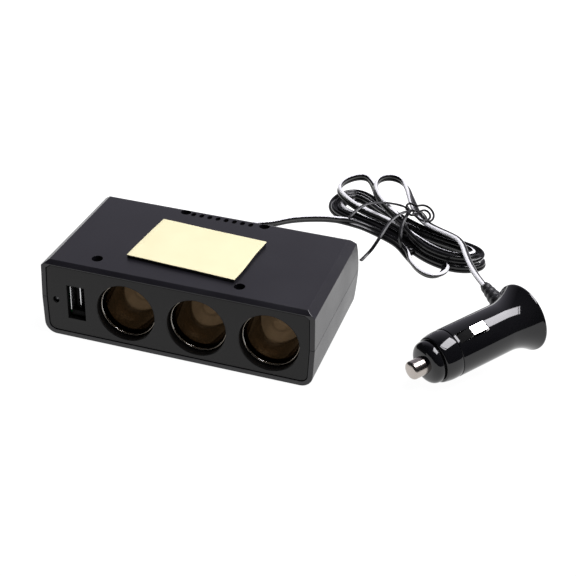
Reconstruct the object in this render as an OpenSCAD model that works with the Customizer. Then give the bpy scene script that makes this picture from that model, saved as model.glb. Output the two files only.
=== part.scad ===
// Car power socket splitter: a flat box with a row of lighter sockets and a USB port,
// an adhesive pad on its upper side, and a tied cord that ends in a lighter plug.
// Millimetres, +Z up, +X to the right seen from the front, the front panel faces -Y.
// The origin is in the middle of the box, on the surface that the box stands on.

/* [Box] */
// Width of the box at the line where the two shells meet
body_w = 112.7; // [112:0.1:126]
// Depth of the box from the front rim to the back of the curved rear wall
body_d = 64; // [63:0.5:76]
// Height of the box without the pad
body_h = 33.7; // [33:0.1:38]
// Height of the line where the two shells meet
parting_z = 16.9; // [16.5:0.1:18]
// Thickness of the shell walls, and width of the rim round the front panel
wall = 2; // [1.8:0.1:2.4]
// How far each side leans in from the meeting line down to the base
lower_draft = 0.3; // [0.2:0.1:1]
// How far each side leans in from the meeting line up to the side chamfer
upper_draft = 0.5; // [0.2:0.1:1]
// Width of the sloping band along each upper side edge
chamfer_w = 3.2; // [2.4:0.1:4]
// Height of the sloping band along each upper side edge
chamfer_h = 2.5; // [2:0.1:3.2]
// Radius of the two long bottom edges
bottom_r = 5; // [4:0.5:6]
// Radius of the bowed rear wall
rear_r = 28; // [26:0.5:32]
// Height at which the rear wall reaches furthest back
rear_z = 17; // [15:0.5:18]
// Radius that blends the rear wall into the top and the base
rear_edge_r = 3; // [2:0.5:4]
// Bevel on the upper front edge
front_bevel = 1.5; // [0.8:0.1:1.8]

/* [Front panel] */
// Thickness of the front panel
panel_t = 2.4; // [2:0.1:3]
// How far the panel's face lies behind the front rim
panel_recess = 0.3; // [0.1:0.1:0.6]
// Gap between the panel and the shells
panel_gap = 0.15; // [0.1:0.05:0.25]
// Depth of the groove in the shells that holds the panel's flange
groove_depth = 1; // [0.7:0.1:1.2]
// Thickness of the panel's flange
flange_t = 1; // [0.8:0.1:1.2]

/* [Sockets] */
// Number of lighter sockets in the row
socket_count = 3; // [3:1:3]
// Distance from one socket to the next
socket_pitch = 29.4; // [29.2:0.1:31]
// How far the middle socket lies to the right of the box's middle
socket_mid_x = 8.7; // [7.5:0.1:9.5]
// Height of the socket axes
socket_z = 16.2; // [15.8:0.1:16.8]
// Radius of the socket bore
bore_r = 10.6; // [10.5:0.05:10.7]
// Thickness of the socket's metal
barrel_t = 0.5; // [0.4:0.05:0.6]
// Length of the socket bore from its lip to the contact plate
bore_l = 34.5; // [30:0.5:36]
// Length of the narrowed end that holds the contact plate
barrel_end_l = 3.5; // [3:0.5:4]
// Radius of the round opening in the panel
mouth_r = 11.5; // [11.3:0.1:11.7]
// Depth from the front rim to the socket's metal lip
mouth_depth = 4.5; // [4:0.1:5.5]
// Thickness of the collar behind each opening
collar_t = 1.3; // [1:0.1:1.4]
// Thickness of the socket's metal lip
lip_t = 0.6; // [0.5:0.05:0.8]

/* [Contacts inside the sockets] */
// Thickness of the insulating contact plate
plate_t = 3; // [2.5:0.1:3.4]
// Radius of the head of the centre contact
contact_r = 4; // [3:0.1:5]
// Thickness of the head of the centre contact
contact_t = 1.2; // [1:0.1:1.6]
// Radius of the centre contact's shank
shank_r = 1.5; // [1.2:0.1:1.8]
// Thickness of the two brass strips
strip_t = 0.6; // [0.5:0.05:0.8]
// Height of the positive strip
strip_h = 8; // [7:0.5:9]
// Depth of the negative strip
ground_strip_d = 6; // [5:0.5:8]

/* [USB port and indicator] */
// Distance from the first socket to the USB port
usb_gap = 21.1; // [20.8:0.1:21.4]
// Width of the USB port's metal shell
usb_w = 5.7; // [5.6:0.05:5.8]
// Height of the USB port's metal shell
usb_h = 13.1; // [13:0.05:13.2]
// Depth of the USB port's metal shell
usb_d = 14; // [12:0.5:16]
// Thickness of the USB port's metal
usb_t = 0.3; // [0.25:0.05:0.35]
// Space in the panel round the USB port
usb_margin = 0.9; // [0.7:0.05:1]
// Distance from the USB port to the indicator
led_gap = 8.6; // [8.4:0.1:8.8]
// Radius of the indicator
led_r = 1.5; // [1.4:0.05:1.6]
// Radius of the indicator's hole in the panel
led_hole_r = 1.3; // [1.1:0.05:1.35]

/* [Circuit board] */
// Thickness of the circuit board
board_t = 1.6; // [1.2:0.1:1.8]
// Depth of the circuit board
board_d = 50; // [46:1:52]

/* [Screws, vents and pad] */
// Radius of the screw holes in the upper shell
screw_hole_r = 2.15; // [2.1:0.05:2.2]
// Radius of the posts that the screws pull together
post_r = 2.9; // [2.8:0.05:3]
// Radius of the screws
screw_r = 1.2; // [1:0.05:1.3]
// Length of the screws under the head
screw_l = 12; // [10:0.5:13]
// Number of vent slots ahead of the rear edge
vent_count = 8; // [4:1:9]
// Distance from one vent slot to the next
vent_pitch = 3.6; // [3.2:0.1:3.8]
// Width of a vent slot
vent_w = 1.9; // [1.4:0.1:2.2]
// Length of a vent slot
vent_l = 2.7; // [2.4:0.1:3]
// Length of the adhesive pad
pad_w = 45.8; // [30:0.2:47]
// Depth of the adhesive pad
pad_d = 32; // [20:0.5:33]
// Thickness of the foam
foam_t = 1.2; // [0.8:0.1:2]
// Thickness of the peel-off liner
liner_t = 0.2; // [0.1:0.05:0.3]
// Angle at which the pad was stuck on
pad_turn = -3.9; // [-6:0.1:0]

/* [Cord] */
// Width of the flat cord, across both cores
cord_w = 3.4; // [3.2:0.1:3.4]
// Thickness of the flat cord, which is one core
cord_t = 1.8; // [1.6:0.05:1.8]
// Number of the hank's points in one loop
rings_per_loop = 24; // [24:1:24]
// Distance from the middle of the hank to the end of its loops
hank_half_l = 46; // [44:1:50]
// Half the width of the hank where it is tied
hank_waist = 8.2; // [8.1:0.1:8.4]
// How much wider the loops are than the waist
hank_bulge = 18; // [14:1:20]
// How much more the left loops open than the right ones
hank_lean = 4; // [0:0.5:5]
// How far the tied waist lies in front of the loops
hank_bend = 9; // [6:0.5:10]
// Distance from one loop to the next
hank_step = 2.6; // [2.6:0.02:2.7]
// Height from the lower layer of loops to the upper one
hank_rise = 4.3; // [4.3:0.05:4.5]
// How much the tie lifts the waist
hank_lift = 1.15; // [1.1:0.05:1.3]
// Thickness of the wire tie
tie_t = 0.8; // [0.6:0.05:0.9]
// Width of the wire tie
tie_w = 1.8; // [1.4:0.1:2.2]

/* [Plug] */
// Radius of the spring-loaded tip
tip_r = 3.7; // [3.4:0.05:3.9]
// Distance from the plug's zero point to the shoulder of the cap
tip_l = 5.7; // [5:0.1:7]
// How far the end of the tip lies ahead of the zero point
tip_ahead = 1.4; // [0.8:0.1:1.6]
// Radius of the front of the screw-on cap
cap_r = 8.6; // [8.2:0.1:8.8]
// How far the cap's front swells ahead of its shoulder
cap_ahead = 0.8; // [0.4:0.1:1]
// Length of the screw-on cap
cap_l = 3.5; // [3.2:0.1:4.2]
// Thickness of the washer behind the cap
washer_t = 0.75; // [0.6:0.05:1]
// Radius of the front edge of the plug's front ring
ring_front_r = 9.2; // [9:0.1:9.5]
// Length of the plug's front ring
ring_l = 7.5; // [7:0.1:8.5]
// Radius of the plug's barrel
plug_r = 10; // [9.9:0.05:10.1]
// Distance from the zero point to the end of the plug's straight barrel
plug_straight_end = 43; // [42:0.5:45]
// Distance from the zero point to the plug's wide rim
plug_rim = 54.8; // [54:0.5:58]
// Radius of the plug's wide rim
rim_r = 14; // [13.5:0.1:14.5]
// Wall of the plug
plug_wall = 1.6; // [1.4:0.1:1.8]
// Length of the side contacts' windows
window_l = 14.2; // [13.5:0.1:15]
// Width of the side contacts' windows
window_w = 4.6; // [4.2:0.1:5]
// Width of the side contacts
side_contact_w = 3.8; // [3.4:0.1:4]
// Thickness of the side contacts
side_contact_t = 0.6; // [0.5:0.05:0.7]
// How far the side contacts stand out of the barrel
side_contact_out = 1; // [0.6:0.1:1.2]
// Radius of the fuse
fuse_r = 3.17; // [2.6:0.01:3.2]
// Length of the fuse
fuse_l = 31.8; // [30:0.1:32]
// How far the tip can be pressed in
tip_travel = 2; // [1.5:0.1:2.5]
// Length of the plug's strain relief
relief_l = 16.5; // [14:0.5:18]

/* [Hidden] */

$fn = 64;
// Length that each cut runs past what it cuts
over = 1;
// Clearance between fixed pieces that fit into each other
fit = 0.05;
// Running clearance between pieces that turn or slide in each other
run = 0.06;

front_y = -body_d / 2;
rear_axis_y = body_d / 2 - rear_r;
panel_y = front_y + panel_recess;
panel_back_y = panel_y + panel_t;
function socket_x(i) = socket_mid_x + (i - (socket_count - 1) / 2) * socket_pitch;

// Sockets, from the front backwards
lip_y = front_y + mouth_depth;
lip_r = mouth_r + 0.9 * collar_t;
bore_end_y = lip_y + bore_l;
barrel_end_y = bore_end_y + barrel_end_l;
plate_r = bore_r - 0.5 * barrel_t;
boss_r = 0.82 * plate_r;
boss_l = 1.4;
// Room between the head of the centre contact and the end of the bore's wall
contact_room = 0.1;
strip_y = barrel_end_y + boss_l;
tail_r = 2.6;
tail_t = 0.9;
ground_z = socket_z - bore_r - barrel_t;
ground_y = barrel_end_y - ground_strip_d;

// USB port, indicator and board
usb_x = socket_x(0) - usb_gap;
usb_set_back = 1.1;
usb_y = panel_y + usb_set_back;
led_x = usb_x - led_gap;
board_x = usb_x - usb_w / 2 - fit;
board_margin = 1.2;
board_z0 = wall + board_margin;
board_z1 = body_h - wall - board_margin;
board_y0 = panel_back_y + board_margin;

// Screws
screw_mid = socket_pitch / 2;
front_screw_inset = 8.2;
rear_screw_inset = 7.9;
front_screw_y = front_y + front_screw_inset;
rear_screw_y = body_d / 2 - rear_screw_inset;
rear_screw_x = 17.3;
screw_places = [[socket_x(0) - screw_mid, front_screw_y], [socket_x(1) + screw_mid, front_screw_y],
                [-rear_screw_x, rear_screw_y], [rear_screw_x, rear_screw_y]];
head_r = 2;
head_t = 1.5;
seat_z = parting_z + 4;

// Cord exit
cord_x = -1;
exit_z = 16.2;
neck_r = 3.5;
grommet_flange_r = 4.8;
grommet_flange_t = 1.5;
grommet_l = 10;
exit_y = body_d / 2 + grommet_l;

// Plug, placed on the floor with its own X axis from the tip to the rim
plug_x = 91.4;
plug_y = -18.6;
plug_yaw = 50.9;
ring_x = tip_l + cap_l + washer_t;
ring_end = ring_x + ring_l;
plug_tilt = atan((rim_r - plug_r) / (plug_rim - ring_end));
plug_z = plug_r * cos(plug_tilt) - ring_end * sin(plug_tilt);
contact_turn = 25;
relief_x = 51;
relief_lean = 15;
relief_r = 3.6;

// Points of an arc round (x, y), from angle a0 to a1 in n steps
function arc(x, y, r, a0, a1, n) =
    [for (i = [0:n]) let (a = a0 + (a1 - a0) * i / n) [x + r * cos(a), y + r * sin(a)]];
function mirrored(p) = [for (i = [len(p) - 1:-1:0]) [-p[i][0], p[i][1]]];

// Half the front outline of the box, drawn in by e on every side
function half_front(e) =
    let (base = body_w / 2 - lower_draft - e,
         side = body_w / 2 - upper_draft - e,
         slope = atan(chamfer_h / chamfer_w))
    concat(arc(base - bottom_r + e, bottom_r, bottom_r - e, -90, 0, 8),
           [[body_w / 2 - e, parting_z],
            [side, body_h - chamfer_h - e * tan((90 - slope) / 2)],
            [side - chamfer_w + e - e * tan(slope / 2), body_h - e]]);
function front_outline(e) = concat(half_front(e), mirrored(half_front(e)));

// Side outline of the box, drawn in by e, with its front at y
function side_outline(e, y, bevel) =
    let (d = rear_r - rear_edge_r,
         up = body_h - rear_edge_r - rear_z,
         down = rear_z - rear_edge_r,
         a_up = asin(up / d),
         a_down = asin(down / d))
    concat([[y, e]],
           arc(rear_axis_y + d * cos(a_down), rear_edge_r, rear_edge_r - e, -90, -a_down, 5),
           arc(rear_axis_y, rear_z, rear_r - e, -a_down, a_up, 20),
           arc(rear_axis_y + d * cos(a_up), body_h - rear_edge_r, rear_edge_r - e, a_up, 90, 5),
           [[y + bevel, body_h - e], [y, body_h - e - bevel]]);

// Extrudes an XZ outline along +Y from y, over a length l
module along_y(y, l) {
    translate([0, y + l, 0]) rotate([90, 0, 0]) linear_extrude(l) children();
}
// Extrudes a YZ outline along X, over a width w about the middle
module across_x(w) {
    translate([-w / 2, 0, 0]) rotate([90, 0, 90]) linear_extrude(w) children();
}
// Round bar along +Y from y
module bar_y(x, y, z, r, l) {
    translate([x, y, z]) rotate([-90, 0, 0]) cylinder(r = r, h = l);
}

module box_outside() {
    intersection() {
        along_y(front_y, body_d) polygon(front_outline(0));
        across_x(body_w) polygon(side_outline(0, front_y, front_bevel));
    }
}
module box_inside() {
    intersection() {
        along_y(front_y - over, body_d) polygon(front_outline(wall));
        across_x(body_w) polygon(side_outline(wall, front_y - over, 0));
    }
}
// Everything below or above the meeting line
module lower_half() {
    translate([-body_w, -body_d, -over]) cube([2 * body_w, 2 * body_d, parting_z + over]);
}
module upper_half() {
    translate([-body_w, -body_d, parting_z]) cube([2 * body_w, 2 * body_d, body_h]);
}
module panel_groove() {
    along_y(panel_back_y - flange_t - fit, flange_t + 2 * fit)
        polygon(front_outline(wall - groove_depth));
}

// Ribs that carry the sockets, cut to the sockets' outside
rib_t = 1.6;
rib_margin = 2;
front_rib_from_lip = 14;
rib_places = [lip_y + front_rib_from_lip, ground_y - fit - rib_t];
// The ribs of the upper shell hang down only this far, past the sides of the sockets
upper_rib_z = 22;
module socket_ribs(z) {
    x0 = socket_x(0) - bore_r - rib_margin;
    for (y = rib_places)
        difference() {
            translate([x0, y, z]) cube([body_w / 2 - x0, rib_t, body_h - z]);
            for (i = [0:socket_count - 1])
                bar_y(socket_x(i), y - over, socket_z, bore_r + barrel_t + fit, rib_t + 2 * over);
        }
}

// Forked guides for the edge of the circuit board
guide_l = 6;
guide_w = 4;
guide_h = 3;
guide_steps = [10, 24];
guide_places = [for (g = guide_steps) board_y0 + g];
module board_guides() {
    for (y = guide_places, z = [0, body_h - wall - board_margin - guide_h])
        translate([board_x - board_t / 2 - guide_w / 2, y, z])
            cube([guide_w, guide_l, wall + board_margin + guide_h]);
}
module board_space() {
    translate([board_x - board_t - fit, board_y0 - fit, board_z0])
        cube([board_t + 2 * fit, board_d + 2 * fit, board_z1 - board_z0]);
}

module screw_posts() {
    for (p = screw_places)
        translate([p[0], p[1], 0]) cylinder(r = post_r, h = body_h);
}
module grommet_hole() {
    bar_y(cord_x, rear_axis_y, exit_z, neck_r + fit, rear_r + over);
}

module shell_blank(ribs_from) {
    intersection() {
        box_outside();
        difference() {
            union() {
                difference() {
                    box_outside();
                    box_inside();
                }
                socket_ribs(ribs_from);
                board_guides();
                screw_posts();
            }
            board_space();
            panel_groove();
        }
    }
}

module lower_shell() {
    color("#2b2a2e")
    difference() {
        intersection() {
            shell_blank(0);
            lower_half();
        }
        grommet_hole();
        for (p = screw_places)
            translate([p[0], p[1], seat_z - screw_l - over])
                cylinder(r = screw_r + fit, h = screw_l + 2 * over);
    }
}

// Slots in the top, just ahead of the rear edge
vent_inset = 8.8;
vent_h = 7;
module vents() {
    for (i = [0:vent_count - 1])
        translate([cord_x + (i - (vent_count - 1) / 2) * vent_pitch, body_d / 2 - vent_inset, body_h - vent_h])
            linear_extrude(vent_h + over)
                polygon(concat(arc(0, (vent_l - vent_w) / 2, vent_w / 2, 0, 180, 8),
                               arc(0, (vent_w - vent_l) / 2, vent_w / 2, 180, 360, 8)));
}

module upper_shell() {
    color("#302f34")
    difference() {
        intersection() {
            shell_blank(upper_rib_z);
            upper_half();
        }
        grommet_hole();
        vents();
        for (p = screw_places) {
            translate([p[0], p[1], seat_z]) cylinder(r = screw_hole_r, h = body_h);
            translate([p[0], p[1], parting_z - over])
                cylinder(r = screw_r + fit, h = seat_z - parting_z + 2 * over);
        }
    }
}

module front_panel() {
    color("#2f2d2e")
    difference() {
        union() {
            along_y(panel_y, panel_t) polygon(front_outline(wall + panel_gap));
            along_y(panel_back_y - flange_t, flange_t)
                polygon(front_outline(wall - groove_depth + panel_gap));
            for (i = [0:socket_count - 1])
                bar_y(socket_x(i), panel_y + panel_t / 2, socket_z, mouth_r + collar_t,
                      lip_y - panel_y - panel_t / 2);
        }
        for (i = [0:socket_count - 1])
            bar_y(socket_x(i), panel_y - over, socket_z, mouth_r, mouth_depth + 2 * over);
        translate([usb_x - usb_w / 2 - usb_margin, panel_y - over, socket_z - usb_h / 2 - usb_margin])
            cube([usb_w + 2 * usb_margin, panel_t + 2 * over, usb_h + 2 * usb_margin]);
        bar_y(led_x, panel_y - over, socket_z, led_hole_r, panel_t + 2 * over);
    }
}

// Metal sleeve of one socket: a flat lip, the bore, and a narrowed end round the contact plate
module socket_barrel(i) {
    color("#8d7a5c")
    translate([socket_x(i), lip_y, socket_z]) rotate([-90, 0, 0])
        rotate_extrude()
            polygon([[bore_r, 0], [lip_r, 0], [lip_r, lip_t], [bore_r + barrel_t, lip_t],
                     [bore_r + barrel_t, bore_l + barrel_end_l],
                     [boss_r + 2 * fit, bore_l + barrel_end_l],
                     [boss_r + 2 * fit, bore_l + plate_t + fit],
                     [plate_r + fit, bore_l + plate_t + fit],
                     [plate_r + fit, bore_l - contact_t - contact_room],
                     [bore_r, bore_l - contact_t - contact_room]]);
}

// Insulating plate at the bottom of one socket
module contact_plate(i) {
    color("#6b4a2f")
    difference() {
        union() {
            bar_y(socket_x(i), bore_end_y, socket_z, plate_r, plate_t);
            bar_y(socket_x(i), bore_end_y, socket_z, boss_r, barrel_end_l + boss_l);
        }
        bar_y(socket_x(i), bore_end_y - over, socket_z, shank_r + fit,
              barrel_end_l + boss_l + 2 * over);
    }
}

// Riveted centre contact of one socket, with a domed head
dome_share = 0.55;
module centre_contact(i) {
    back = barrel_end_l + boss_l + strip_t;
    color("#b08d57")
    translate([socket_x(i), bore_end_y, socket_z]) rotate([-90, 0, 0])
        rotate_extrude()
            polygon([[0, -contact_t], [dome_share * contact_r, -contact_t],
                     [contact_r, -contact_t * dome_share], [contact_r, 0], [shank_r, 0],
                     [shank_r, back], [tail_r, back], [tail_r, back + tail_t], [0, back + tail_t]]);
}

module positive_strip() {
    color("#b9954f")
    difference() {
        translate([board_x + fit, strip_y, socket_z - strip_h / 2])
            cube([socket_x(socket_count - 1) + 2 * tail_r - board_x, strip_t, strip_h]);
        for (i = [0:socket_count - 1])
            bar_y(socket_x(i), strip_y - over, socket_z, shank_r + fit, strip_t + 2 * over);
    }
}

// Strip under the sockets with a tab that rises behind them to the negative wire
tab_w = 4;
tab_side = 0.75;
tab_gap = 3.2;
module negative_strip() {
    tab_y = strip_y + strip_t + tail_t + tab_gap;
    tab_x = cord_x - cord_t / 2 + tab_side - tab_w;
    color("#a9854a")
    union() {
        translate([board_x + fit, ground_y, ground_z - strip_t - fit])
            cube([socket_x(socket_count - 1) + 2 * tail_r - board_x, ground_strip_d, strip_t]);
        translate([tab_x, ground_y, ground_z - strip_t - fit])
            cube([tab_w, tab_y + strip_t - ground_y, strip_t]);
        translate([tab_x, tab_y, ground_z - strip_t - fit])
            cube([tab_w, strip_t, exit_z + cord_t - ground_z + strip_t]);
    }
}

// Ends of the two cores inside the box, soldered to the two strips
module inner_wires() {
    tab_y = strip_y + strip_t + tail_t + tab_gap;
    core_r = 0.42 * cord_t;
    end_y = flange_y;
    color("#2a2a2c") bar_y(cord_x + cord_t / 2, strip_y + strip_t, exit_z, core_r, end_y - strip_y - strip_t);
    color("#e8e8e8") bar_y(cord_x - cord_t / 2, tab_y + strip_t, exit_z, core_r, end_y - tab_y - strip_t);
}

module usb_shell() {
    color("#c9c9cc")
    translate([usb_x - usb_w / 2, usb_y, socket_z - usb_h / 2])
        difference() {
            cube([usb_w, usb_d, usb_h]);
            translate([usb_t, -over, usb_t])
                cube([usb_w - 2 * usb_t, usb_d - usb_t + over, usb_h - 2 * usb_t]);
        }
}
tongue_t = 1.84;
tongue_h = 11.1;
tongue_recess = 2.6;
module usb_tongue() {
    color("#1a1a1a")
    union() {
        translate([usb_x - tongue_t / 2 - 0.2 * tongue_t, usb_y + tongue_recess, socket_z - tongue_h / 2])
            cube([tongue_t, usb_d - usb_t - tongue_recess, tongue_h]);
        translate([usb_x - usb_w / 2 + usb_t + fit, usb_y + usb_d - usb_t - tongue_t,
                   socket_z - usb_h / 2 + usb_t + fit])
            cube([usb_w - 2 * usb_t - 2 * fit, tongue_t, usb_h - 2 * usb_t - 2 * fit]);
    }
}

// Round lamp with a collar and two legs that bend across to the board
led_l = 4;
leg_t = 0.5;
leg_gap = 2.54;
leg_l = 2.5;
module indicator_lamp() {
    collar_y = panel_back_y + led_l;
    color("#cfd2d6")
    union() {
        bar_y(led_x, panel_back_y + fit, socket_z, led_r, led_l);
        bar_y(led_x, collar_y - led_r / 2 + fit, socket_z, 1.2 * led_r, led_r / 2);
        for (s = [-1, 1]) {
            translate([led_x - leg_t / 2, collar_y, socket_z + s * leg_gap / 2 - leg_t / 2])
                cube([leg_t, leg_l, leg_t]);
            translate([led_x - leg_t / 2, collar_y + leg_l - leg_t, socket_z + s * leg_gap / 2 - leg_t / 2])
                cube([board_x - board_t - led_x + leg_t / 2, leg_t, leg_t]);
        }
    }
}

module circuit_board() {
    color("#1f6b3a")
    translate([board_x - board_t, board_y0, board_z0])
        cube([board_t, board_d, board_z1 - board_z0]);
}

// Parts on the board's right face, behind the USB port
parts_y = usb_y + usb_d;
coil_r = 3.6;
coil_l = 5.5;
module choke_coil() {
    color("#3a3a3c")
    translate([board_x, parts_y + 2 * coil_r, socket_z + 1.5 * coil_r]) rotate([0, 90, 0])
        rotate_extrude()
            polygon([[0, 0], [coil_r, 0], [coil_r, 0.2 * coil_l], [0.75 * coil_r, 0.2 * coil_l],
                     [0.75 * coil_r, 0.8 * coil_l], [coil_r, 0.8 * coil_l], [coil_r, coil_l], [0, coil_l]]);
}
cap_body_r = 2.5;
cap_body_l = 8;
module capacitors() {
    color("#31406b")
    for (k = [0, 1])
        translate([board_x, parts_y + (3 + 2.4 * k) * cap_body_r, socket_z - 3 * cap_body_r])
            rotate([0, 90, 0]) cylinder(r = cap_body_r, h = cap_body_l);
}
chip_w = 4;
chip_l = 5;
chip_t = 1.5;
module regulator_chip() {
    color("#202022")
    translate([board_x, parts_y + 5 * coil_r, socket_z + coil_r]) cube([chip_t, chip_l, chip_w]);
}
diode_r = 1.3;
diode_l = 4.5;
module diode() {
    color("#111111")
    bar_y(board_x + diode_r, parts_y + 5 * coil_r, socket_z - coil_r, diode_r, diode_l);
}

// Four equal screws, each with a crossed slot in its head
slot_share = 0.28;
module shell_screws() {
    color("#8c8c90")
    for (p = screw_places)
        translate([p[0], p[1], seat_z])
            difference() {
                union() {
                    translate([0, 0, -screw_l]) cylinder(r = screw_r, h = screw_l + head_t / 2);
                    cylinder(r = head_r, h = head_t);
                }
                for (a = [0, 90])
                    rotate([0, 0, a])
                        translate([-0.65 * head_r, -slot_share * head_r / 2, head_t / 2])
                            cube([1.3 * head_r, slot_share * head_r, head_t]);
            }
}

pad_x = -1;
pad_y = -4.6;
module pad_layer(z, t, inset) {
    translate([pad_x, pad_y, z]) rotate([0, 0, pad_turn])
        translate([inset - pad_w / 2, inset - pad_d / 2, 0])
            cube([pad_w - 2 * inset, pad_d - 2 * inset, t]);
}
liner_inset = 0.3;
module foam_pad() {
    color("#26211f") pad_layer(body_h, foam_t, 0);
}
module release_liner() {
    color("#fcf5cb") pad_layer(body_h + foam_t, liner_t, liner_inset);
}

// Rubber sleeve in the rear wall: an inner flange, a neck, and a ribbed tapering tail
flange_reach = grommet_flange_r + abs(exit_z - rear_z);
flange_y = rear_axis_y - fit - grommet_flange_t + sqrt(pow(rear_r - wall, 2) - pow(flange_reach, 2));
grommet_collar_r = 4.3;
grommet_end_r = 2.7;
rib_depth = 0.5;
module cord_grommet() {
    out = body_d / 2 + fit - flange_y;
    step_l = (exit_y - body_d / 2 - fit) / 5;
    color("#1d1d1f")
    translate([cord_x, flange_y, exit_z]) rotate([-90, 0, 0])
        rotate_extrude()
            polygon(concat([[0, 0], [grommet_flange_r, 0], [grommet_flange_r, grommet_flange_t],
                            [neck_r, grommet_flange_t], [neck_r, out]],
                           [for (k = [0:4]) let (r = grommet_collar_r + (grommet_end_r - grommet_collar_r) * k / 4,
                                                 y = out + k * step_l)
                                each [[r, y], [r, y + 0.65 * step_l], [r - rib_depth, y + 0.65 * step_l],
                                      [r - rib_depth, y + step_l]]],
                           [[0, exit_y - flange_y]]));
}

// Cord: cross-sections and sweeping. The flat cord stands on its narrow edge.
function unit(v) = v / norm(v);
// Ring of n points round p, square to direction d: a is its half size across, b along ref
function ring_at(p, d, a, b, n, ref) =
    let (f = unit(d), s = unit(cross(ref, f)), u = cross(f, s))
    [for (i = [0:n - 1]) let (t = 360 * i / n + 90) p + s * a * cos(t) + u * b * sin(t)];
function direction(path, i) =
    i == 0 ? path[1] - path[0]
    : i == len(path) - 1 ? path[i] - path[i - 1]
    : unit(path[i + 1] - path[i]) + unit(path[i] - path[i - 1]);
// One closed tube along a path
module tube(path, a, b, n, ref = [0, 0, 1]) {
    m = len(path);
    points = [for (i = [0:m - 1]) each ring_at(path[i], direction(path, i), a, b, n, ref)];
    sides = [for (i = [0:m - 2], k = [0:n - 1])
        let (p = i * n + k, q = i * n + (k + 1) % n)
        each [[p, q + n, q], [p, p + n, q + n]]];
    ends = [[for (k = [0:n - 1]) k], [for (k = [n - 1:-1:0]) (m - 1) * n + k]];
    polyhedron(points = points, faces = concat(ends, sides));
}
// Smooth curve through hand-chosen points, with n steps from one to the next
function curve(p, n) =
    let (m = len(p) - 1)
    concat([for (i = [0:m - 1], k = [0:n - 1])
        let (t = k / n,
             a = p[max(i - 1, 0)], b = p[i], c = p[i + 1], d = p[min(i + 2, m)])
        0.5 * (2 * b + (c - a) * t + (2 * a - 5 * b + 4 * c - d) * t * t
               + (3 * b - a - 3 * c + d) * t * t * t)],
        [p[m]]);

// Hank: one flat cord that winds in along the floor, climbs at the waist and winds out on top
hank_x = 60;
hank_y = 94.5;
hank_turn = -33.3;
hank_start_angle = -72;
hank_rings = 109;
hank_turns = hank_rings / rings_per_loop;
hank_reverse = 2.55;
climb_turns = 0.25;
climb_mid = 2.51;
upper_fold_turn = 2.8;
last_fold_turn = 3.8;
cross_up = [4.07, 4.13];
cross_down = [4.36, 4.47];
fan_angles = [6, -5, -28];
fan_reach_shares = [0.97, 1.22, 1];
fan_width_shares = [1, 1, 0.75];
fan_from_shares = [0.25, 0.25, 0.2];
fan_to_shares = [0.9, 0.9, 0.9];
hank_ease = 0.8;
ease_turns = 0.3;
function hank_base(a) =
    let (c = cos(a), s = sin(a))
    [hank_half_l * c, s * (hank_waist + (hank_bulge - hank_lean * c) * c * c) + hank_bend * c * c];
function hank_inward(a) =
    let (d = unit(hank_base(a + 1) - hank_base(a - 1))) [-d[1], d[0]];
function smooth(t) = let (k = max(0, min(1, t))) k * k * (3 - 2 * k);
function hank_height(u, t) =
    cord_w / 2 + 0.02 * cord_w
    + hank_lift * pow(max(0, 1 - pow(2 * u / hank_half_l, 2)), 1.5)
    + hank_rise * smooth((t - climb_mid) / climb_turns + 0.5)
    + hank_rise * smooth((t - cross_up[0]) / (cross_up[1] - cross_up[0]))
      * (1 - smooth((t - cross_down[0]) / (cross_down[1] - cross_down[0])));
// The folds at the left fan out: those of the lower layer, the upper one, and the last, which crosses over
function fold_of(t) = t < upper_fold_turn ? 0 : t < last_fold_turn ? 1 : 2;
function fanned(p, c, k) =
    let (w = smooth((-c - fan_from_shares[k]) / (fan_to_shares[k] - fan_from_shares[k])),
         mid = hank_bend * c * c,
         v = mid + (p[1] - mid) * (1 + (fan_width_shares[k] - 1) * w),
         reach = 1 + (fan_reach_shares[k] - 1) * w,
         a = fan_angles[k] * w)
    reach * [p[0] * cos(a) - v * sin(a), p[0] * sin(a) + v * cos(a)];
function to_floor(u, v, z) =
    [hank_x + u * cos(hank_turn) - v * sin(hank_turn), hank_y + u * sin(hank_turn) + v * cos(hank_turn), z];
function hank_point(t) =
    let (a = hank_start_angle - 360 * t,
         eased = hank_ease * smooth((t - hank_turns + ease_turns) / ease_turns),
         inset = hank_step * (hank_reverse - abs(t - hank_reverse)) - eased,
         p = hank_base(a) + inset * hank_inward(a),
         q = fanned(p, cos(a), fold_of(t)))
    to_floor(q[0], q[1], hank_height(p[0], t));
function hank_heading(t) = unit(hank_point(t + 0.01) - hank_point(t - 0.01));
hank_wind = [for (i = [0:hank_rings]) hank_point(i / rings_per_loop)];
hank_first = hank_wind[0] - cord_w * hank_heading(0);
hank_last = hank_wind[hank_rings] + cord_w * hank_heading(hank_turns);
hank_path = concat([hank_first], hank_wind, [hank_last]);

// Least gap between two stretches of the hank, measured from each point to each stretch
function flat(p) = [p[0], p[1]];
function gap_to(p, a, b) =
    let (d = flat(b - a), t = max(0, min(1, (flat(p - a) * d) / (d * d))), q = a + (b - a) * t)
    max(norm(flat(p - q)) - cord_t, abs(p[2] - q[2]) - cord_w);
hank_least_gap = min([for (i = [0:len(hank_path) - 1], j = [0:len(hank_path) - 2])
                      if (abs(i - j) > 6) gap_to(hank_path[i], hank_path[j], hank_path[j + 1])]);
function path_length(p, i = 0) = i >= len(p) - 1 ? 0 : norm(p[i + 1] - p[i]) + path_length(p, i + 1);

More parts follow.
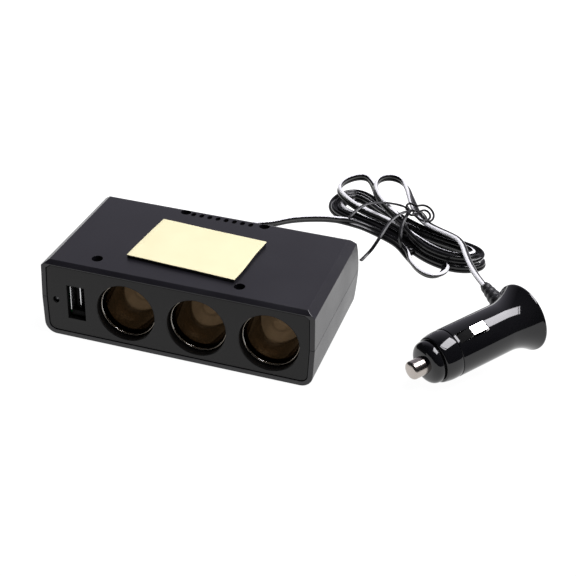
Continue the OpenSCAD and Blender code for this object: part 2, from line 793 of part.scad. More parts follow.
// Puts a piece with its X axis from the plug's tip to its rim where the plug lies
module in_plug() {
    translate([plug_x, plug_y, plug_z]) rotate([0, 0, plug_yaw]) rotate([0, -plug_tilt, 0]) children();
}
function plug_point(x, y, z) =
    let (h = x * cos(plug_tilt) - z * sin(plug_tilt))
    [plug_x + h * cos(plug_yaw) - y * sin(plug_yaw), plug_y + h * sin(plug_yaw) + y * cos(plug_yaw),
     plug_z + x * sin(plug_tilt) + z * cos(plug_tilt)];
relief_heading = plug_point(sin(relief_lean), cos(relief_lean), 0) - plug_point(0, 0, 0);
relief_out = plug_r + relief_l;
relief_end = plug_point(relief_x, 0, 0) + relief_out * relief_heading;

// Lead from the box to the hank, with its open bight in front of the hank
lead_route = [[-1, 45.6, 16.2], [-0.6, 50.6, 15.4], [1, 57.5, 13], [4, 64.5, 10],
              [8.5, 71.5, 7.2], [14.5, 78.5, 4.9], [21.5, 84.5, 3.2], [29, 88.5, 2.2], [37, 90, 1.8],
              [45, 88.6, 2], [52.4, 84.9, 3.2], [59.5, 80.6, 3.4], [66.5, 75.8, 3.1], [72.5, 70, 2.1],
              [77, 64.5, 1.8], [81.6, 61.6, 1.8], [86, 62.6, 1.8], [87.6, 66.6, 1.8], [84.6, 69.9, 1.8],
              [79.6, 73, 2]];
lead_path = concat([[cord_x, exit_y, exit_z]], curve(lead_route, 2),
                   [hank_first - cord_w * hank_heading(0), hank_first]);
module cord_lead() {
    color("#1b1b1d") tube(lead_path, cord_t / 2, cord_w / 2, 8);
}
module cord_hank() {
    color("#26262a") tube(hank_path, cord_t / 2, cord_w / 2, 6);
}

// Tail from the hank over its right loops to the plug
tail_route = [[67.9, 97.4, 7.6], [73.2, 94.6, 8.4], [78.7, 92, 9.3], [84.1, 89.2, 9.9], [88.7, 85.4, 10.1],
              [91.9, 80.2, 10.1], [94.2, 74, 10.4], [96.6, 67, 11], [99.4, 59.5, 12], [102.6, 51.8, 13]];
tail_path = concat([hank_last, hank_last + cord_w * hank_heading(hank_turns)], curve(tail_route, 2),
                   [relief_end + cord_w * relief_heading, relief_end]);
module cord_tail() {
    color("#1b1b1d") tube(tail_path, cord_t / 2, cord_w / 2, 8);
}
echo(hank_least_gap = hank_least_gap, lead_length = path_length(lead_path),
     hank_length = path_length(hank_path), tail_length = path_length(tail_path));

// Wire tie: a tail over the left loops, a turn and a half round the waist, and a tail to the floor
tie_half_v = 12.6;
tie_mid_v = -1.6;
tie_half_z = 4.8;
tie_mid_z = 5.25;
tie_power = 0.4;
tie_pitch = 10.8;
tie_slant = 3.5;
tie_u = -7.4;
tie_from = 45;
tie_to = 525;
function rounded(x) = sign(x) * pow(abs(x), tie_power);
function tie_point(a) =
    to_floor(tie_u + tie_pitch * (a - tie_from) / 360 - tie_slant * cos(a),
             tie_mid_v + tie_half_v * rounded(cos(a)), tie_mid_z + tie_half_z * rounded(sin(a)));
tie_over = [[31.5, 95.2, 1.6], [32.8, 97.2, 6.6], [35.2, 99.4, 10.6], [38.4, 101.6, 12.9], [42.4, 104, 12.9],
            [46.6, 106.6, 11.4], [50.6, 108.4, 10]];
tie_down = [[60, 75.2, 6.2], [57.6, 73, 4.2], [55, 70.8, 2.4], [52.4, 68.4, 1.3], [49.6, 65.6, 1]];
tie_path = concat(tie_over, [for (a = [tie_from:15:tie_to]) tie_point(a)], tie_down);
tie_ref = to_floor(1, 0, 0) - to_floor(0, 0, 0);
module twist_tie() {
    color("#161618") tube(tie_path, tie_t / 2, tie_w / 2, 6, tie_ref);
}

// Solid turned round the X axis, from points [radius, x]
module turned(p) {
    rotate([0, 90, 0]) rotate_extrude() polygon(p);
}

// Outside of the plug's body: a straight barrel that flares to the rim
flare_power = 2.2;
flare_steps = 12;
rim_t = 0.8;
rim_round = 0.5;
function flare(k) = [plug_r + (rim_r - plug_r) * pow(k, flare_power),
                     plug_straight_end + (plug_rim - plug_straight_end) * k];
plug_outline = concat([[plug_r, ring_end]], [for (k = [0:flare_steps]) flare(k / flare_steps)],
                      [[rim_r, plug_rim + rim_t - rim_round], [rim_r - rim_round, plug_rim + rim_t]]);
plug_in_r = plug_r - plug_wall;
pin_back = 4;
spring_l = 7;
terminal_t = 0.8;
web_t = 1.5;
web_x = tip_l + pin_back + fuse_l + spring_l + terminal_t;
rim_land = 1.7;
rear_r_in = rim_r - rim_land;
seat_depth = 1.4;
rear_seat_x = plug_rim - seat_depth;
window_set_back = 1.2;
window_x = ring_end + window_set_back;
module plug_body() {
    color("#17171a")
    in_plug() difference() {
        turned(concat(plug_outline,
                      [[rear_r_in + fit, plug_rim + rim_t], [rear_r_in + fit, rear_seat_x],
                       [plug_in_r, rear_seat_x], [plug_in_r, web_x + web_t], [terminal_stud_r + fit, web_x + web_t],
                       [terminal_stud_r + fit, web_x], [plug_in_r, web_x], [plug_in_r, ring_end]]));
        for (a = [contact_turn, contact_turn + 180])
            rotate([a, 0, 0])
                translate([window_x, -window_w / 2, plug_in_r / 2]) cube([window_l, window_w, plug_r]);
    }
}
shank_out = 6.4;
shank_in = 5.3;
cap_shank_l = 6;
spigot_l = 1;
module plug_front_ring() {
    bulge = 0.3;
    color("#1a1a1d")
    in_plug() turned([[ring_front_r - bulge, ring_x], [ring_front_r, ring_x + bulge],
                      [ring_front_r + 0.75 * (plug_r - ring_front_r), ring_x + 0.5 * ring_l],
                      [plug_r, ring_end], [plug_in_r - fit, ring_end], [plug_in_r - fit, ring_end + spigot_l],
                      [shank_out + run, ring_end + spigot_l], [shank_out + run, ring_x]]);
}
rear_dome = 0.9;
dome_shares = [[1, 0], [0.8, 0.6], [0.4, 0.95], [0, 1]];
dome_line = [for (k = dome_shares) [k[0] * rear_r_in, plug_rim + rim_t + k[1] * rear_dome]];
module plug_rear_cap() {
    color("#1c1c1f")
    in_plug() turned(concat([[0, rear_seat_x], [rear_r_in, rear_seat_x]], dome_line));
}
relief_rib = 0.7;
relief_ribs = 5;
relief_end_r = 2.3;
module plug_strain_relief() {
    start = 0.8 * plug_r;
    step = (relief_out - plug_r) / relief_ribs;
    color("#17171a")
    in_plug() difference() {
        translate([relief_x, 0, 0]) rotate([0, 0, 90 - relief_lean])
            turned(concat([[0, start], [relief_r, start]],
                          [for (k = [0:relief_ribs - 1])
                              let (r = relief_r + (relief_end_r - relief_r) * k / (relief_ribs - 1),
                                   x = plug_r + k * step)
                              each [[r, x + 0.1 * step], [r, x + 0.6 * step], [r - relief_rib, x + 0.65 * step],
                                    [r - relief_rib, x + step]]],
                          [[0, relief_out]]));
        turned(concat([[0, ring_end]], [for (p = plug_outline) [p[0] + fit, p[1]]],
                      [for (p = dome_line) [p[0], p[1] + fit]]));
    }
}

// Screw-on cap with its shank, and the washer behind it
cap_edge = 1;
shoulder_t = 1.2;
module nose_cap() {
    front = tip_l - cap_ahead;
    back = tip_l + cap_l;
    color("#1d1d20")
    in_plug() turned([[tip_r + run, front], [cap_r - cap_edge, front], [cap_r - 0.3 * cap_edge, tip_l - 0.3],
                      [cap_r, tip_l + 0.8 * cap_edge], [cap_r, back - 0.3], [cap_r - 0.3, back], [shank_out, back],
                      [shank_out, back + cap_shank_l], [shank_in, back + cap_shank_l],
                      [shank_in, tip_l + shoulder_t], [tip_r + run, tip_l + shoulder_t]]);
}
module cap_washer() {
    color("#0f0f10")
    in_plug() turned([[shank_out + run, tip_l + cap_l + run], [cap_r - cap_edge, tip_l + cap_l + run],
                      [cap_r - cap_edge, ring_x - run], [shank_out + run, ring_x - run]]);
}

// Tip pin with the flange that the cap traps
pin_flange_r = 5;
pin_flange_t = 1;
module tip_pin() {
    seat = tip_l + shoulder_t;
    color("#c9c6c0")
    in_plug() turned([[0, -tip_ahead], [0.7 * tip_r, 0.04 * tip_r - tip_ahead],
                      [0.9 * tip_r, 0.14 * tip_r - tip_ahead], [tip_r, 0.32 * tip_r - tip_ahead],
                      [tip_r, seat], [pin_flange_r, seat], [pin_flange_r, seat + pin_flange_t],
                      [0.8 * tip_r, seat + pin_flange_t], [0.8 * tip_r, tip_l + pin_back], [0, tip_l + pin_back]]);
}

// Glass fuse, its spring and the terminal behind it
fuse_x = tip_l + pin_back;
fuse_cap_l = 6;
fuse_cap_t = 0.2;
fuse_wire_r = 0.2;
glass_t = 0.7;
module fuse_glass() {
    color([0.8, 0.9, 0.9, 0.5])
    in_plug() translate([fuse_x + fuse_cap_t, 0, 0]) rotate([0, 90, 0])
        difference() {
            cylinder(r = fuse_r - fuse_cap_t, h = fuse_l - 2 * fuse_cap_t);
            translate([0, 0, -over]) cylinder(r = fuse_r - fuse_cap_t - glass_t, h = fuse_l + 2 * over);
        }
}
module fuse_caps() {
    gap = 0.02;
    color("#c4c4c4")
    in_plug() {
        for (k = [0, 1])
            translate([fuse_x + k * fuse_l, 0, 0]) mirror([k, 0, 0])
                turned([[0, 0], [fuse_r, 0], [fuse_r, fuse_cap_l], [fuse_r - fuse_cap_t + gap, fuse_cap_l],
                        [fuse_r - fuse_cap_t + gap, fuse_cap_t - gap], [fuse_wire_r, fuse_cap_t - gap],
                        [fuse_wire_r, fuse_l / 2], [0, fuse_l / 2]]);
    }
}
spring_r = 2.6;
spring_wire_r = 0.35;
spring_coils = 5;
spring_rings = 12;
module fuse_spring() {
    x0 = fuse_x + fuse_l + spring_wire_r + fit;
    rise = spring_l - 2 * spring_wire_r - 2 * fit;
    path = [for (i = [0:spring_coils * spring_rings])
        let (t = i / spring_rings) [x0 + rise * t / spring_coils, spring_r * cos(360 * t), spring_r * sin(360 * t)]];
    color("#9a9a9c")
    in_plug() tube(path, spring_wire_r, spring_wire_r, 6, [1, 0, 0]);
}
terminal_r = 4.2;
terminal_stud_r = 1.5;
module fuse_terminal() {
    x0 = web_x - terminal_t;
    color("#b9954f")
    in_plug() turned([[0, x0], [terminal_r, x0], [terminal_r, web_x], [terminal_stud_r, web_x],
                      [terminal_stud_r, web_x + web_t + terminal_stud_r], [0, web_x + web_t + terminal_stud_r]]);
}

// Bent spring strip that stands out through a window of the barrel
contact_hinge_x = window_x + window_l + 8.5;
contact_seat_r = sqrt(pow(plug_in_r - fit, 2) - pow(side_contact_w / 2, 2));
module side_contact(turn) {
    top = plug_r + side_contact_out;
    end = window_x + window_l;
    t = side_contact_t;
    line = [[contact_hinge_x, contact_seat_r - t], [end - 1.6, contact_seat_r - t], [end - 1.6, top - t],
            [window_x + 6.6, top - t], [window_x + 1.3, contact_seat_r - t], [window_x + 0.7, contact_seat_r],
            [window_x + 6.4, top], [end - 1, top], [end - 0.9, contact_seat_r], [contact_hinge_x, contact_seat_r]];
    color("#d4d4d8")
    in_plug() rotate([turn, 0, 0]) translate([0, side_contact_w / 2, 0]) rotate([90, 0, 0])
        linear_extrude(side_contact_w) polygon(line);
}

lower_shell();
upper_shell();
front_panel();
socket_barrel(0);  // socket_barrel_1
socket_barrel(1);  // socket_barrel_2
socket_barrel(2);  // socket_barrel_3
contact_plate(0);  // contact_plate_1
contact_plate(1);  // contact_plate_2
contact_plate(2);  // contact_plate_3
centre_contact(0);  // centre_contact_1
centre_contact(1);  // centre_contact_2
centre_contact(2);  // centre_contact_3
positive_strip();
negative_strip();
inner_wires();
usb_shell();
usb_tongue();
indicator_lamp();
circuit_board();
choke_coil();
capacitors();
regulator_chip();
diode();
shell_screws();
foam_pad();
release_liner();
cord_grommet();
cord_lead();
cord_hank();
cord_tail();
twist_tie();
plug_body();
plug_front_ring();
plug_rear_cap();
plug_strain_relief();
cap_washer();
nose_cap();
tip_pin();
fuse_glass();
fuse_caps();
fuse_spring();
fuse_terminal();
side_contact(contact_turn);  // side_contact_upper
side_contact(contact_turn + 180);  // side_contact_lower
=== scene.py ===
"""Looks of the car power socket splitter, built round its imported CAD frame.

Metres in Blender, millimetres in this script's own values. The front panel faces -Y, +Z is up.
"""
import math

import bmesh
import bpy
from mathutils import Matrix, Vector, noise


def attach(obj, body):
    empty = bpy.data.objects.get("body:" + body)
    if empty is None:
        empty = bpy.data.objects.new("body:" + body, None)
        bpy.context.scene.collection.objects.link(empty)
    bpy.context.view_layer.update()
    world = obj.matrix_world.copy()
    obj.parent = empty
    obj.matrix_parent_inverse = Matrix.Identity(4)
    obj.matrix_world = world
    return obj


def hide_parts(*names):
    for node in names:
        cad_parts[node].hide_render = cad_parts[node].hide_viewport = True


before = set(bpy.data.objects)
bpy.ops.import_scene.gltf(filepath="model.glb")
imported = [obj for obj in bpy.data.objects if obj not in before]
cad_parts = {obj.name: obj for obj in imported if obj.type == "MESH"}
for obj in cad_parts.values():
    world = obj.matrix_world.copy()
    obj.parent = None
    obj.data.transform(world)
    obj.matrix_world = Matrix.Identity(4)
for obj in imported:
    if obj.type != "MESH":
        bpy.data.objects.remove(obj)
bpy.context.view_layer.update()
mm = 0.001

# Sizes that the pieces share, in millimetres, as in the part's source
box_width = 112.7
box_height = 33.7
front_y = -32
parting_z = 16.9
panel_face_y = -31.7
panel_thick = 2.4
socket_x = (-20.7, 8.7, 38.1)
socket_z = 16.2
bore_radius = 10.6
bore_wall = 0.5
bore_length = 34.5
lip_y = -27.5
lip_radius = 12.67
mouth_radius = 12.1
bore_sides = 112
cord_width = 3.4


# Camera, at the photograph's place and angle
camera_at = Vector((151.68, -392.14, 275.40)) * mm
camera_yaw, camera_pitch, camera_roll = (math.radians(a) for a in (16.5, 31.8, -2.17))
picture_width = 576
focal_pixels = 1212.19
sensor_width = 36
camera_nearest = 10 * mm


def camera_axes():
    """Directions to the right, downward and into the picture."""
    forward = Vector((-math.sin(camera_yaw) * math.cos(camera_pitch),
                      math.cos(camera_yaw) * math.cos(camera_pitch), -math.sin(camera_pitch)))
    level = Vector((math.cos(camera_yaw), math.sin(camera_yaw), 0))
    down = forward.cross(level)
    right = level * math.cos(camera_roll) + down * math.sin(camera_roll)
    below = down * math.cos(camera_roll) - level * math.sin(camera_roll)
    return right, below, forward


def seen(x, y, z):
    """Place at a height in mm which the photograph shows x pixels from its left and y from its top."""
    right, below, forward = camera_axes()
    sight = forward + (right * (x - picture_width / 2) + below * (y - picture_width / 2)) / focal_pixels
    start = camera_at / mm
    return start + sight * (z - start.z) / sight.z


def place_camera():
    """Camera that looks along the photograph's line of sight."""
    right, below, forward = camera_axes()
    data = bpy.data.cameras.new("camera")
    data.sensor_width = sensor_width
    data.lens = focal_pixels / picture_width * sensor_width
    data.clip_start = camera_nearest
    camera = bpy.data.objects.new("camera", data)
    turn = Matrix((right, -below, -forward)).transposed().to_4x4()
    camera.matrix_world = Matrix.Translation(camera_at) @ turn
    bpy.context.scene.collection.objects.link(camera)
    bpy.context.scene.camera = camera


place_camera()


# Route of the cord
def smooth(t):
    k = max(0.0, min(1.0, t))
    return k * k * (3 - 2 * k)


curve_steps = 6


def curve(points):
    """Smooth curve through given points."""
    points = [Vector(p) for p in points]
    last = len(points) - 1
    line = []
    for i in range(last):
        a, b, c, d = points[max(i - 1, 0)], points[i], points[i + 1], points[min(i + 2, last)]
        for k in range(curve_steps):
            t = k / curve_steps
            line.append(0.5 * (2 * b + (c - a) * t + (2 * a - 5 * b + 4 * c - d) * t * t
                               + (3 * b - a - 3 * c + d) * t ** 3))
    return line + [points[last]]


hank_middle = Vector((60, 94.5, 0))
hank_turn = math.radians(-33.3)
hank_half_length = 46
hank_waist = 8.2
hank_bulge = 18
hank_lean = 4
hank_bend = 9
hank_step = 2.6
hank_rise = 4.3
hank_lift = 1.15
hank_lift_power = 1.5
hank_floor_share = 0.52
hank_start = -72
hank_reverse = 2.55
climb_turns = 0.25
climb_middle = 2.51
# For each layer of loops: angle, reach share, width share, and where the fanning starts and ends
fans = ((6, 0.97, 1, 0.25, 0.9), (-5, 1.22, 1, 0.25, 0.9), (-28, 1, 0.75, 0.2, 0.9))
fan_turns = (2.8, 3.8)


def rotated(x, y, angle):
    c, s = math.cos(angle), math.sin(angle)
    return x * c - y * s, x * s + y * c


def to_floor(u, v, z):
    x, y = rotated(u, v, hank_turn)
    return hank_middle + Vector((x, y, z))


def loop_line(degrees):
    c, s = math.cos(math.radians(degrees)), math.sin(math.radians(degrees))
    return Vector((hank_half_length * c,
                   s * (hank_waist + (hank_bulge - hank_lean * c) * c * c) + hank_bend * c * c))


def hank_point(t):
    """Point of the hank after t turns of winding."""
    degrees = hank_start - 360 * t
    c = math.cos(math.radians(degrees))
    ahead = (loop_line(degrees + 1) - loop_line(degrees - 1)).normalized()
    inset = hank_step * (hank_reverse - abs(t - hank_reverse))
    x, y = loop_line(degrees) + inset * Vector((-ahead.y, ahead.x))
    middle_share = max(0, 1 - (2 * x / hank_half_length) ** 2)
    z = (hank_floor_share * cord_width + hank_lift * middle_share ** hank_lift_power
         + hank_rise * smooth((t - climb_middle) / climb_turns + 0.5))
    angle, reach, width, fan_from, fan_to = fans[sum(t >= k for k in fan_turns)]
    w = smooth((-c - fan_from) / (fan_to - fan_from))
    middle = hank_bend * c * c
    v = middle + (y - middle) * (1 + (width - 1) * w)
    u, v = rotated(x, v, math.radians(angle) * w)
    g = 1 + (reach - 1) * w
    return to_floor(g * u, g * v, z)


def hank_heading(t, near=0.01):
    return (hank_point(t + near) - hank_point(t - near)).normalized()


# Where the plug lies: its own X axis runs from the tip to the rim
plug_tip_at = Vector((91.4, -18.6, 8.085))
plug_heading = math.radians(50.9)
plug_tilt = math.radians(-6.113)
plug_place = (Matrix.Translation(plug_tip_at) @ Matrix.Rotation(plug_heading, 4, "Z")
              @ Matrix.Rotation(plug_tilt, 4, "Y"))
relief_x = 51
relief_lean = math.radians(15)
relief_start = 8
relief_out = 26.5
relief_place = (plug_place @ Matrix.Translation(Vector((relief_x, 0, 0)))
                @ Matrix.Rotation(math.pi / 2 - relief_lean, 4, "Z"))
cord_exit = Vector((-1, 42, 16.2))
relief_end = relief_place @ Vector((relief_out, 0, 0))
relief_heading = (relief_end - relief_place @ Vector((0, 0, 0))).normalized()
tuck = 1.5

lead_route = [(-1, 45.6, 16.2), (-0.2, 49.6, 16.2), (3, 54.4, 16), seen(271.8, 223.9, 15.6),
              seen(287, 220.4, 15), seen(302, 218.9, 13.8), seen(317, 218.5, 12.2), seen(331, 219, 10.4),
              seen(345, 221, 8.8), seen(360, 225, 7), seen(373, 230.6, 5.4), seen(386, 237, 4.4),
              seen(398, 244, 3.8), seen(406.4, 254, 3), seen(413, 264.6, 2.4), seen(422, 273, 2.1),
              seen(433, 276.8, 2.1), seen(443, 273.6, 2.1), seen(446.4, 267, 2.1), seen(441, 260.6, 2.1),
              seen(427, 254.6, 2.1), seen(412, 249.2, 2.2)]
# Last loop of the hank, which stands up beside the tie, and the way from there to the plug
loop_turns = 3.97
last_loop = [(67, 84.6, 7.6), (62.6, 90.4, 9.6), seen(391, 211.5, 10.8), seen(381.5, 201, 11.4),
             seen(375.3, 190, 11.8), seen(376.8, 181.8, 12), seen(384, 177.4, 12), seen(393, 177.2, 12),
             seen(401.6, 180.6, 12), seen(407, 187.6, 12), seen(410.2, 196.4, 12), seen(413.8, 206, 12),
             seen(418.6, 215.6, 11.8), seen(427, 224, 11.2), seen(438, 229.4, 10.6), seen(449.4, 234.6, 10.2)]
tail_route = [(88.7, 85.4, 10.1), (91.9, 80.2, 10.1), (94.2, 74, 10.4), (96.6, 67, 11), (99.4, 59.5, 12),
              (102.6, 51.8, 13)]
rings_per_loop = 72
cord_ring_gap = 1.1
cord_relax_rounds = 14


def evenly(points, gap):
    """The same line with its points a set distance apart."""
    lengths = [0.0]
    for a, b in zip(points, points[1:]):
        lengths.append(lengths[-1] + (b - a).length)
    count = max(2, round(lengths[-1] / gap))
    line, i = [], 0
    for k in range(count + 1):
        at = lengths[-1] * k / count
        while i < len(points) - 2 and lengths[i + 1] < at:
            i += 1
        share = (at - lengths[i]) / max(lengths[i + 1] - lengths[i], 1e-9)
        line.append(points[i].lerp(points[i + 1], min(max(share, 0), 1)))
    return line


def relaxed(points, rounds, held=4):
    """The line with its sharp turns eased; its ends keep their place and direction."""
    for _ in range(rounds):
        eased = [(points[i - 1] + 2 * points[i] + points[i + 1]) / 4
                 for i in range(held, len(points) - held)]
        points = points[:held] + eased + points[-held:]
    return points


def cord_line():
    turns = round(loop_turns * rings_per_loop)
    wound = [hank_point(i / rings_per_loop) for i in range(turns + 1)]
    line = ([cord_exit - Vector((0, tuck, 0)), cord_exit] + curve(lead_route)
            + [wound[0] - cord_width * hank_heading(0)] + wound + curve(last_loop + tail_route)
            + [relief_end + cord_width * relief_heading, relief_end - tuck * relief_heading])
    return relaxed(evenly(line, cord_ring_gap), cord_relax_rounds)


# How far the cord has rolled about itself, in degrees, at distances from the box in mm. At 0 the tracer is
# on the upper left; near 180 it faces the floor.
cord_rolls = ((0, 10), (20, 25), (56, 25), (70, -45), (93, -45), (105, 30), (133, 60), (151, 180),
              (198, 180), (225, 335), (293, 335), (318, 180), (393, 180), (420, 335), (493, 335),
              (513, 435), (568, 435), (596, 335), (673, 335), (693, 440), (708, 430), (723, 375),
              (793, 370), (815, 330), (876, 330), (896, 190), (920, 190), (945, 20), (985, 10), (998, 50),
              (1012, 80), (1040, 75), (1056, 55), (1200, 45))


def roll_at(distance):
    for (a, roll), (b, next_roll) in zip(cord_rolls, cord_rolls[1:]):
        if distance < b:
            return math.radians(roll + (next_roll - roll) * smooth((distance - a) / (b - a)))
    return math.radians(cord_rolls[-1][1])


def swept(name, line, outline, up=Vector((0, 0, 1)), marks=None, roll=None):
    """Closed tube along a line. The outline gives (left, up) points, and marks one number for each."""
    made = bmesh.new()
    layer = made.verts.layers.float.new("tracer")
    rings = []
    distance = 0.0
    for i, p in enumerate(line):
        distance += (p - line[max(i - 1, 0)]).length
        ahead = (line[min(i + 1, len(line) - 1)] - line[max(i - 1, 0)]).normalized()
        left = up.cross(ahead).normalized()
        top = ahead.cross(left)
        if roll:
            c, s = math.cos(roll(distance)), math.sin(roll(distance))
            left, top = left * c + top * s, top * c - left * s
        ring = []
        for k, (a, b) in enumerate(outline):
            v = made.verts.new((p + left * a + top * b) * mm)
            v[layer] = marks[k] if marks else 0.0
            ring.append(v)
        rings.append(ring)
    n = len(outline)
    for a, b in zip(rings, rings[1:]):
        for k in range(n):
            made.faces.new((a[k], a[(k + 1) % n], b[(k + 1) % n], b[k]))
    made.faces.new(list(reversed(rings[0])))
    made.faces.new(rings[-1])
    bmesh.ops.recalc_face_normals(made, faces=made.faces)
    mesh = bpy.data.meshes.new(name)
    made.to_mesh(mesh)
    made.free()
    for face in mesh.polygons:
        face.use_smooth = len(face.vertices) == 4
    piece = bpy.data.objects.new(name, mesh)
    bpy.context.scene.collection.objects.link(piece)
    return piece


core_radius = 1.03
core_offset = 0.92
groove_half = 0.6
# Angles round the upper core, from the left side up; the white tracer lies between two of them
upper_core_angles = (-46, -18, 10, 14, 36, 60, 84, 106, 110, 135, 160, 185, 208, 228)
tracer_start, tracer_end = 12, 108
lower_core_angles = (48, 25, 0, -28, -58, -90, -122, -152, 180, 155, 132)


def cord_outline():
    """Section of the twin cord, with the tracer's mark for each point."""
    points = []
    marks = []
    for angles, middle in ((upper_core_angles, core_offset), (lower_core_angles[::-1], -core_offset)):
        for angle in angles:
            a = math.radians(angle)
            points.append((core_radius * math.cos(a), middle + core_radius * math.sin(a)))
            marks.append(1.0 if middle > 0 and tracer_start < angle < tracer_end else 0.0)
        points.append((-groove_half if middle > 0 else groove_half, 0))
        marks.append(0.0)
    return points, marks


# Making of meshes, by hand steps
def deselect():
    if bpy.context.object and bpy.context.object.mode != "OBJECT":
        bpy.ops.object.mode_set(mode="OBJECT")
    bpy.ops.object.select_all(action="DESELECT")


def pick(piece):
    deselect()
    piece.select_set(True)
    bpy.context.view_layer.objects.active = piece


def edit(piece):
    pick(piece)
    bpy.ops.object.mode_set(mode="EDIT")


def settle(piece, name, place=Matrix.Identity(4), smooth_angle=35):
    """Puts the place into the mesh, which then has metres, and shades it smooth up to an angle."""
    deselect()
    piece.data.transform(Matrix.Scale(mm, 4) @ place @ piece.matrix_world)
    piece.matrix_world = Matrix.Identity(4)
    piece.name = name
    piece.data.name = name
    pick(piece)
    bpy.ops.object.shade_smooth_by_angle(angle=math.radians(smooth_angle))
    return piece


most_cut_share = 0.45


def softened(outline, radius, steps=3):
    """The outline with each inner corner rounded by up to a radius."""
    points = [Vector(p) for p in outline]
    soft = [points[0]]
    for before, corner, after in zip(points, points[1:], points[2:]):
        back, on = before - corner, after - corner
        cut = min(radius, most_cut_share * back.length, most_cut_share * on.length)
        a, b = corner + back.normalized() * cut, corner + on.normalized() * cut
        for k in range(steps + 1):
            t = k / steps
            soft.append(a * (1 - t) ** 2 + 2 * corner * t * (1 - t) + b * t * t)
    return soft + [points[-1]]


smallest = 1e-4
along_x = Matrix.Rotation(math.pi / 2, 4, "Y")
along_y = Matrix.Rotation(-math.pi / 2, 4, "X")


def turned(name, outline, place, sides):
    """Turned piece: a circle drawn out ring by ring along an outline of (distance, radius)."""
    deselect()
    (at, radius), *rest = [(p[0], max(p[1], smallest)) for p in outline]
    bpy.ops.mesh.primitive_circle_add(vertices=sides, radius=radius, location=(0, 0, at))
    piece = bpy.context.object
    bpy.ops.object.mode_set(mode="EDIT")
    bpy.ops.mesh.select_all(action="SELECT")
    for next_at, next_radius in rest:
        bpy.ops.mesh.extrude_region_move(TRANSFORM_OT_translate={"value": (0, 0, next_at - at)})
        bpy.ops.transform.resize(value=(next_radius / radius, next_radius / radius, 1),
                                 center_override=(0, 0, next_at))
        at, radius = next_at, next_radius
    bpy.ops.mesh.select_all(action="SELECT")
    bpy.ops.mesh.remove_doubles(threshold=5 * smallest)
    bpy.ops.mesh.normals_make_consistent(inside=False)
    bpy.ops.object.mode_set(mode="OBJECT")
    return settle(piece, name, place)


def block(name, low, high, bevel, segments=2, place=Matrix.Identity(4)):
    """Rectangular piece between two corners, with its edges rounded."""
    deselect()
    middle = [(a + b) / 2 for a, b in zip(low, high)]
    bpy.ops.mesh.primitive_cube_add(size=1, location=middle)
    piece = bpy.context.object
    bpy.ops.object.mode_set(mode="EDIT")
    bpy.ops.transform.resize(value=[b - a for a, b in zip(low, high)], center_override=middle)
    bpy.ops.mesh.bevel(offset=bevel, segments=segments, affect="EDGES")
    bpy.ops.object.mode_set(mode="OBJECT")
    return settle(piece, name, place)


def joined(pieces, name):
    deselect()
    for piece in pieces:
        piece.select_set(True)
    bpy.context.view_layer.objects.active = pieces[0]
    bpy.ops.object.join()
    pieces[0].name = name
    return pieces[0]


def flat_faced(piece):
    """Large faces keep their own normals, so that only the narrow ones at the edges look round."""
    weight = piece.modifiers.new("weight", "WEIGHTED_NORMAL")
    weight.keep_sharp = True
    pick(piece)
    bpy.ops.object.modifier_apply(modifier=weight.name)
    return piece


mesh_weld = 0.002
flat_angle = math.radians(0.4)
sharp_angle = math.radians(25)


def copy_of_node(node, name, wanted, width, segments=2):
    """Copy of a CAD node with the wanted sharp edges rounded. wanted takes an edge's middle in mm."""
    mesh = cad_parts[node].data.copy()
    mesh.transform(Matrix.Scale(1 / mm, 4))
    piece = bpy.data.objects.new(name, mesh)
    bpy.context.scene.collection.objects.link(piece)
    pick(piece)
    bpy.ops.mesh.customdata_custom_splitnormals_clear()
    edit(piece)
    bpy.ops.mesh.select_all(action="SELECT")
    bpy.ops.mesh.remove_doubles(threshold=mesh_weld)
    bpy.ops.mesh.dissolve_limited(angle_limit=flat_angle)
    bpy.ops.mesh.select_all(action="DESELECT")
    bpy.ops.mesh.select_mode(type="EDGE")
    made = bmesh.from_edit_mesh(mesh)
    for edge in made.edges:
        if edge.is_manifold and edge.is_convex and edge.calc_face_angle() > sharp_angle:
            edge.select = wanted((edge.verts[0].co + edge.verts[1].co) / 2)
    bmesh.update_edit_mesh(mesh)
    bpy.ops.mesh.bevel(offset=width, segments=segments, affect="EDGES", clamp_overlap=False)
    bpy.ops.object.mode_set(mode="OBJECT")
    settle(piece, name, smooth_angle=30)
    return flat_faced(piece)


def carve(piece, cutter):
    """Cuts one piece out of another and removes the cutter."""
    cut = piece.modifiers.new("cut", "BOOLEAN")
    cut.object = cutter
    cut.solver = "EXACT"
    pick(piece)
    bpy.ops.object.modifier_apply(modifier=cut.name)
    bpy.data.objects.remove(cutter)


# Finishes: where the darkest and lightest tones stand in the patches, and how far the patches span
tone_stops = (0.35, 0.65)
patch_span = (0.3, 0.7)


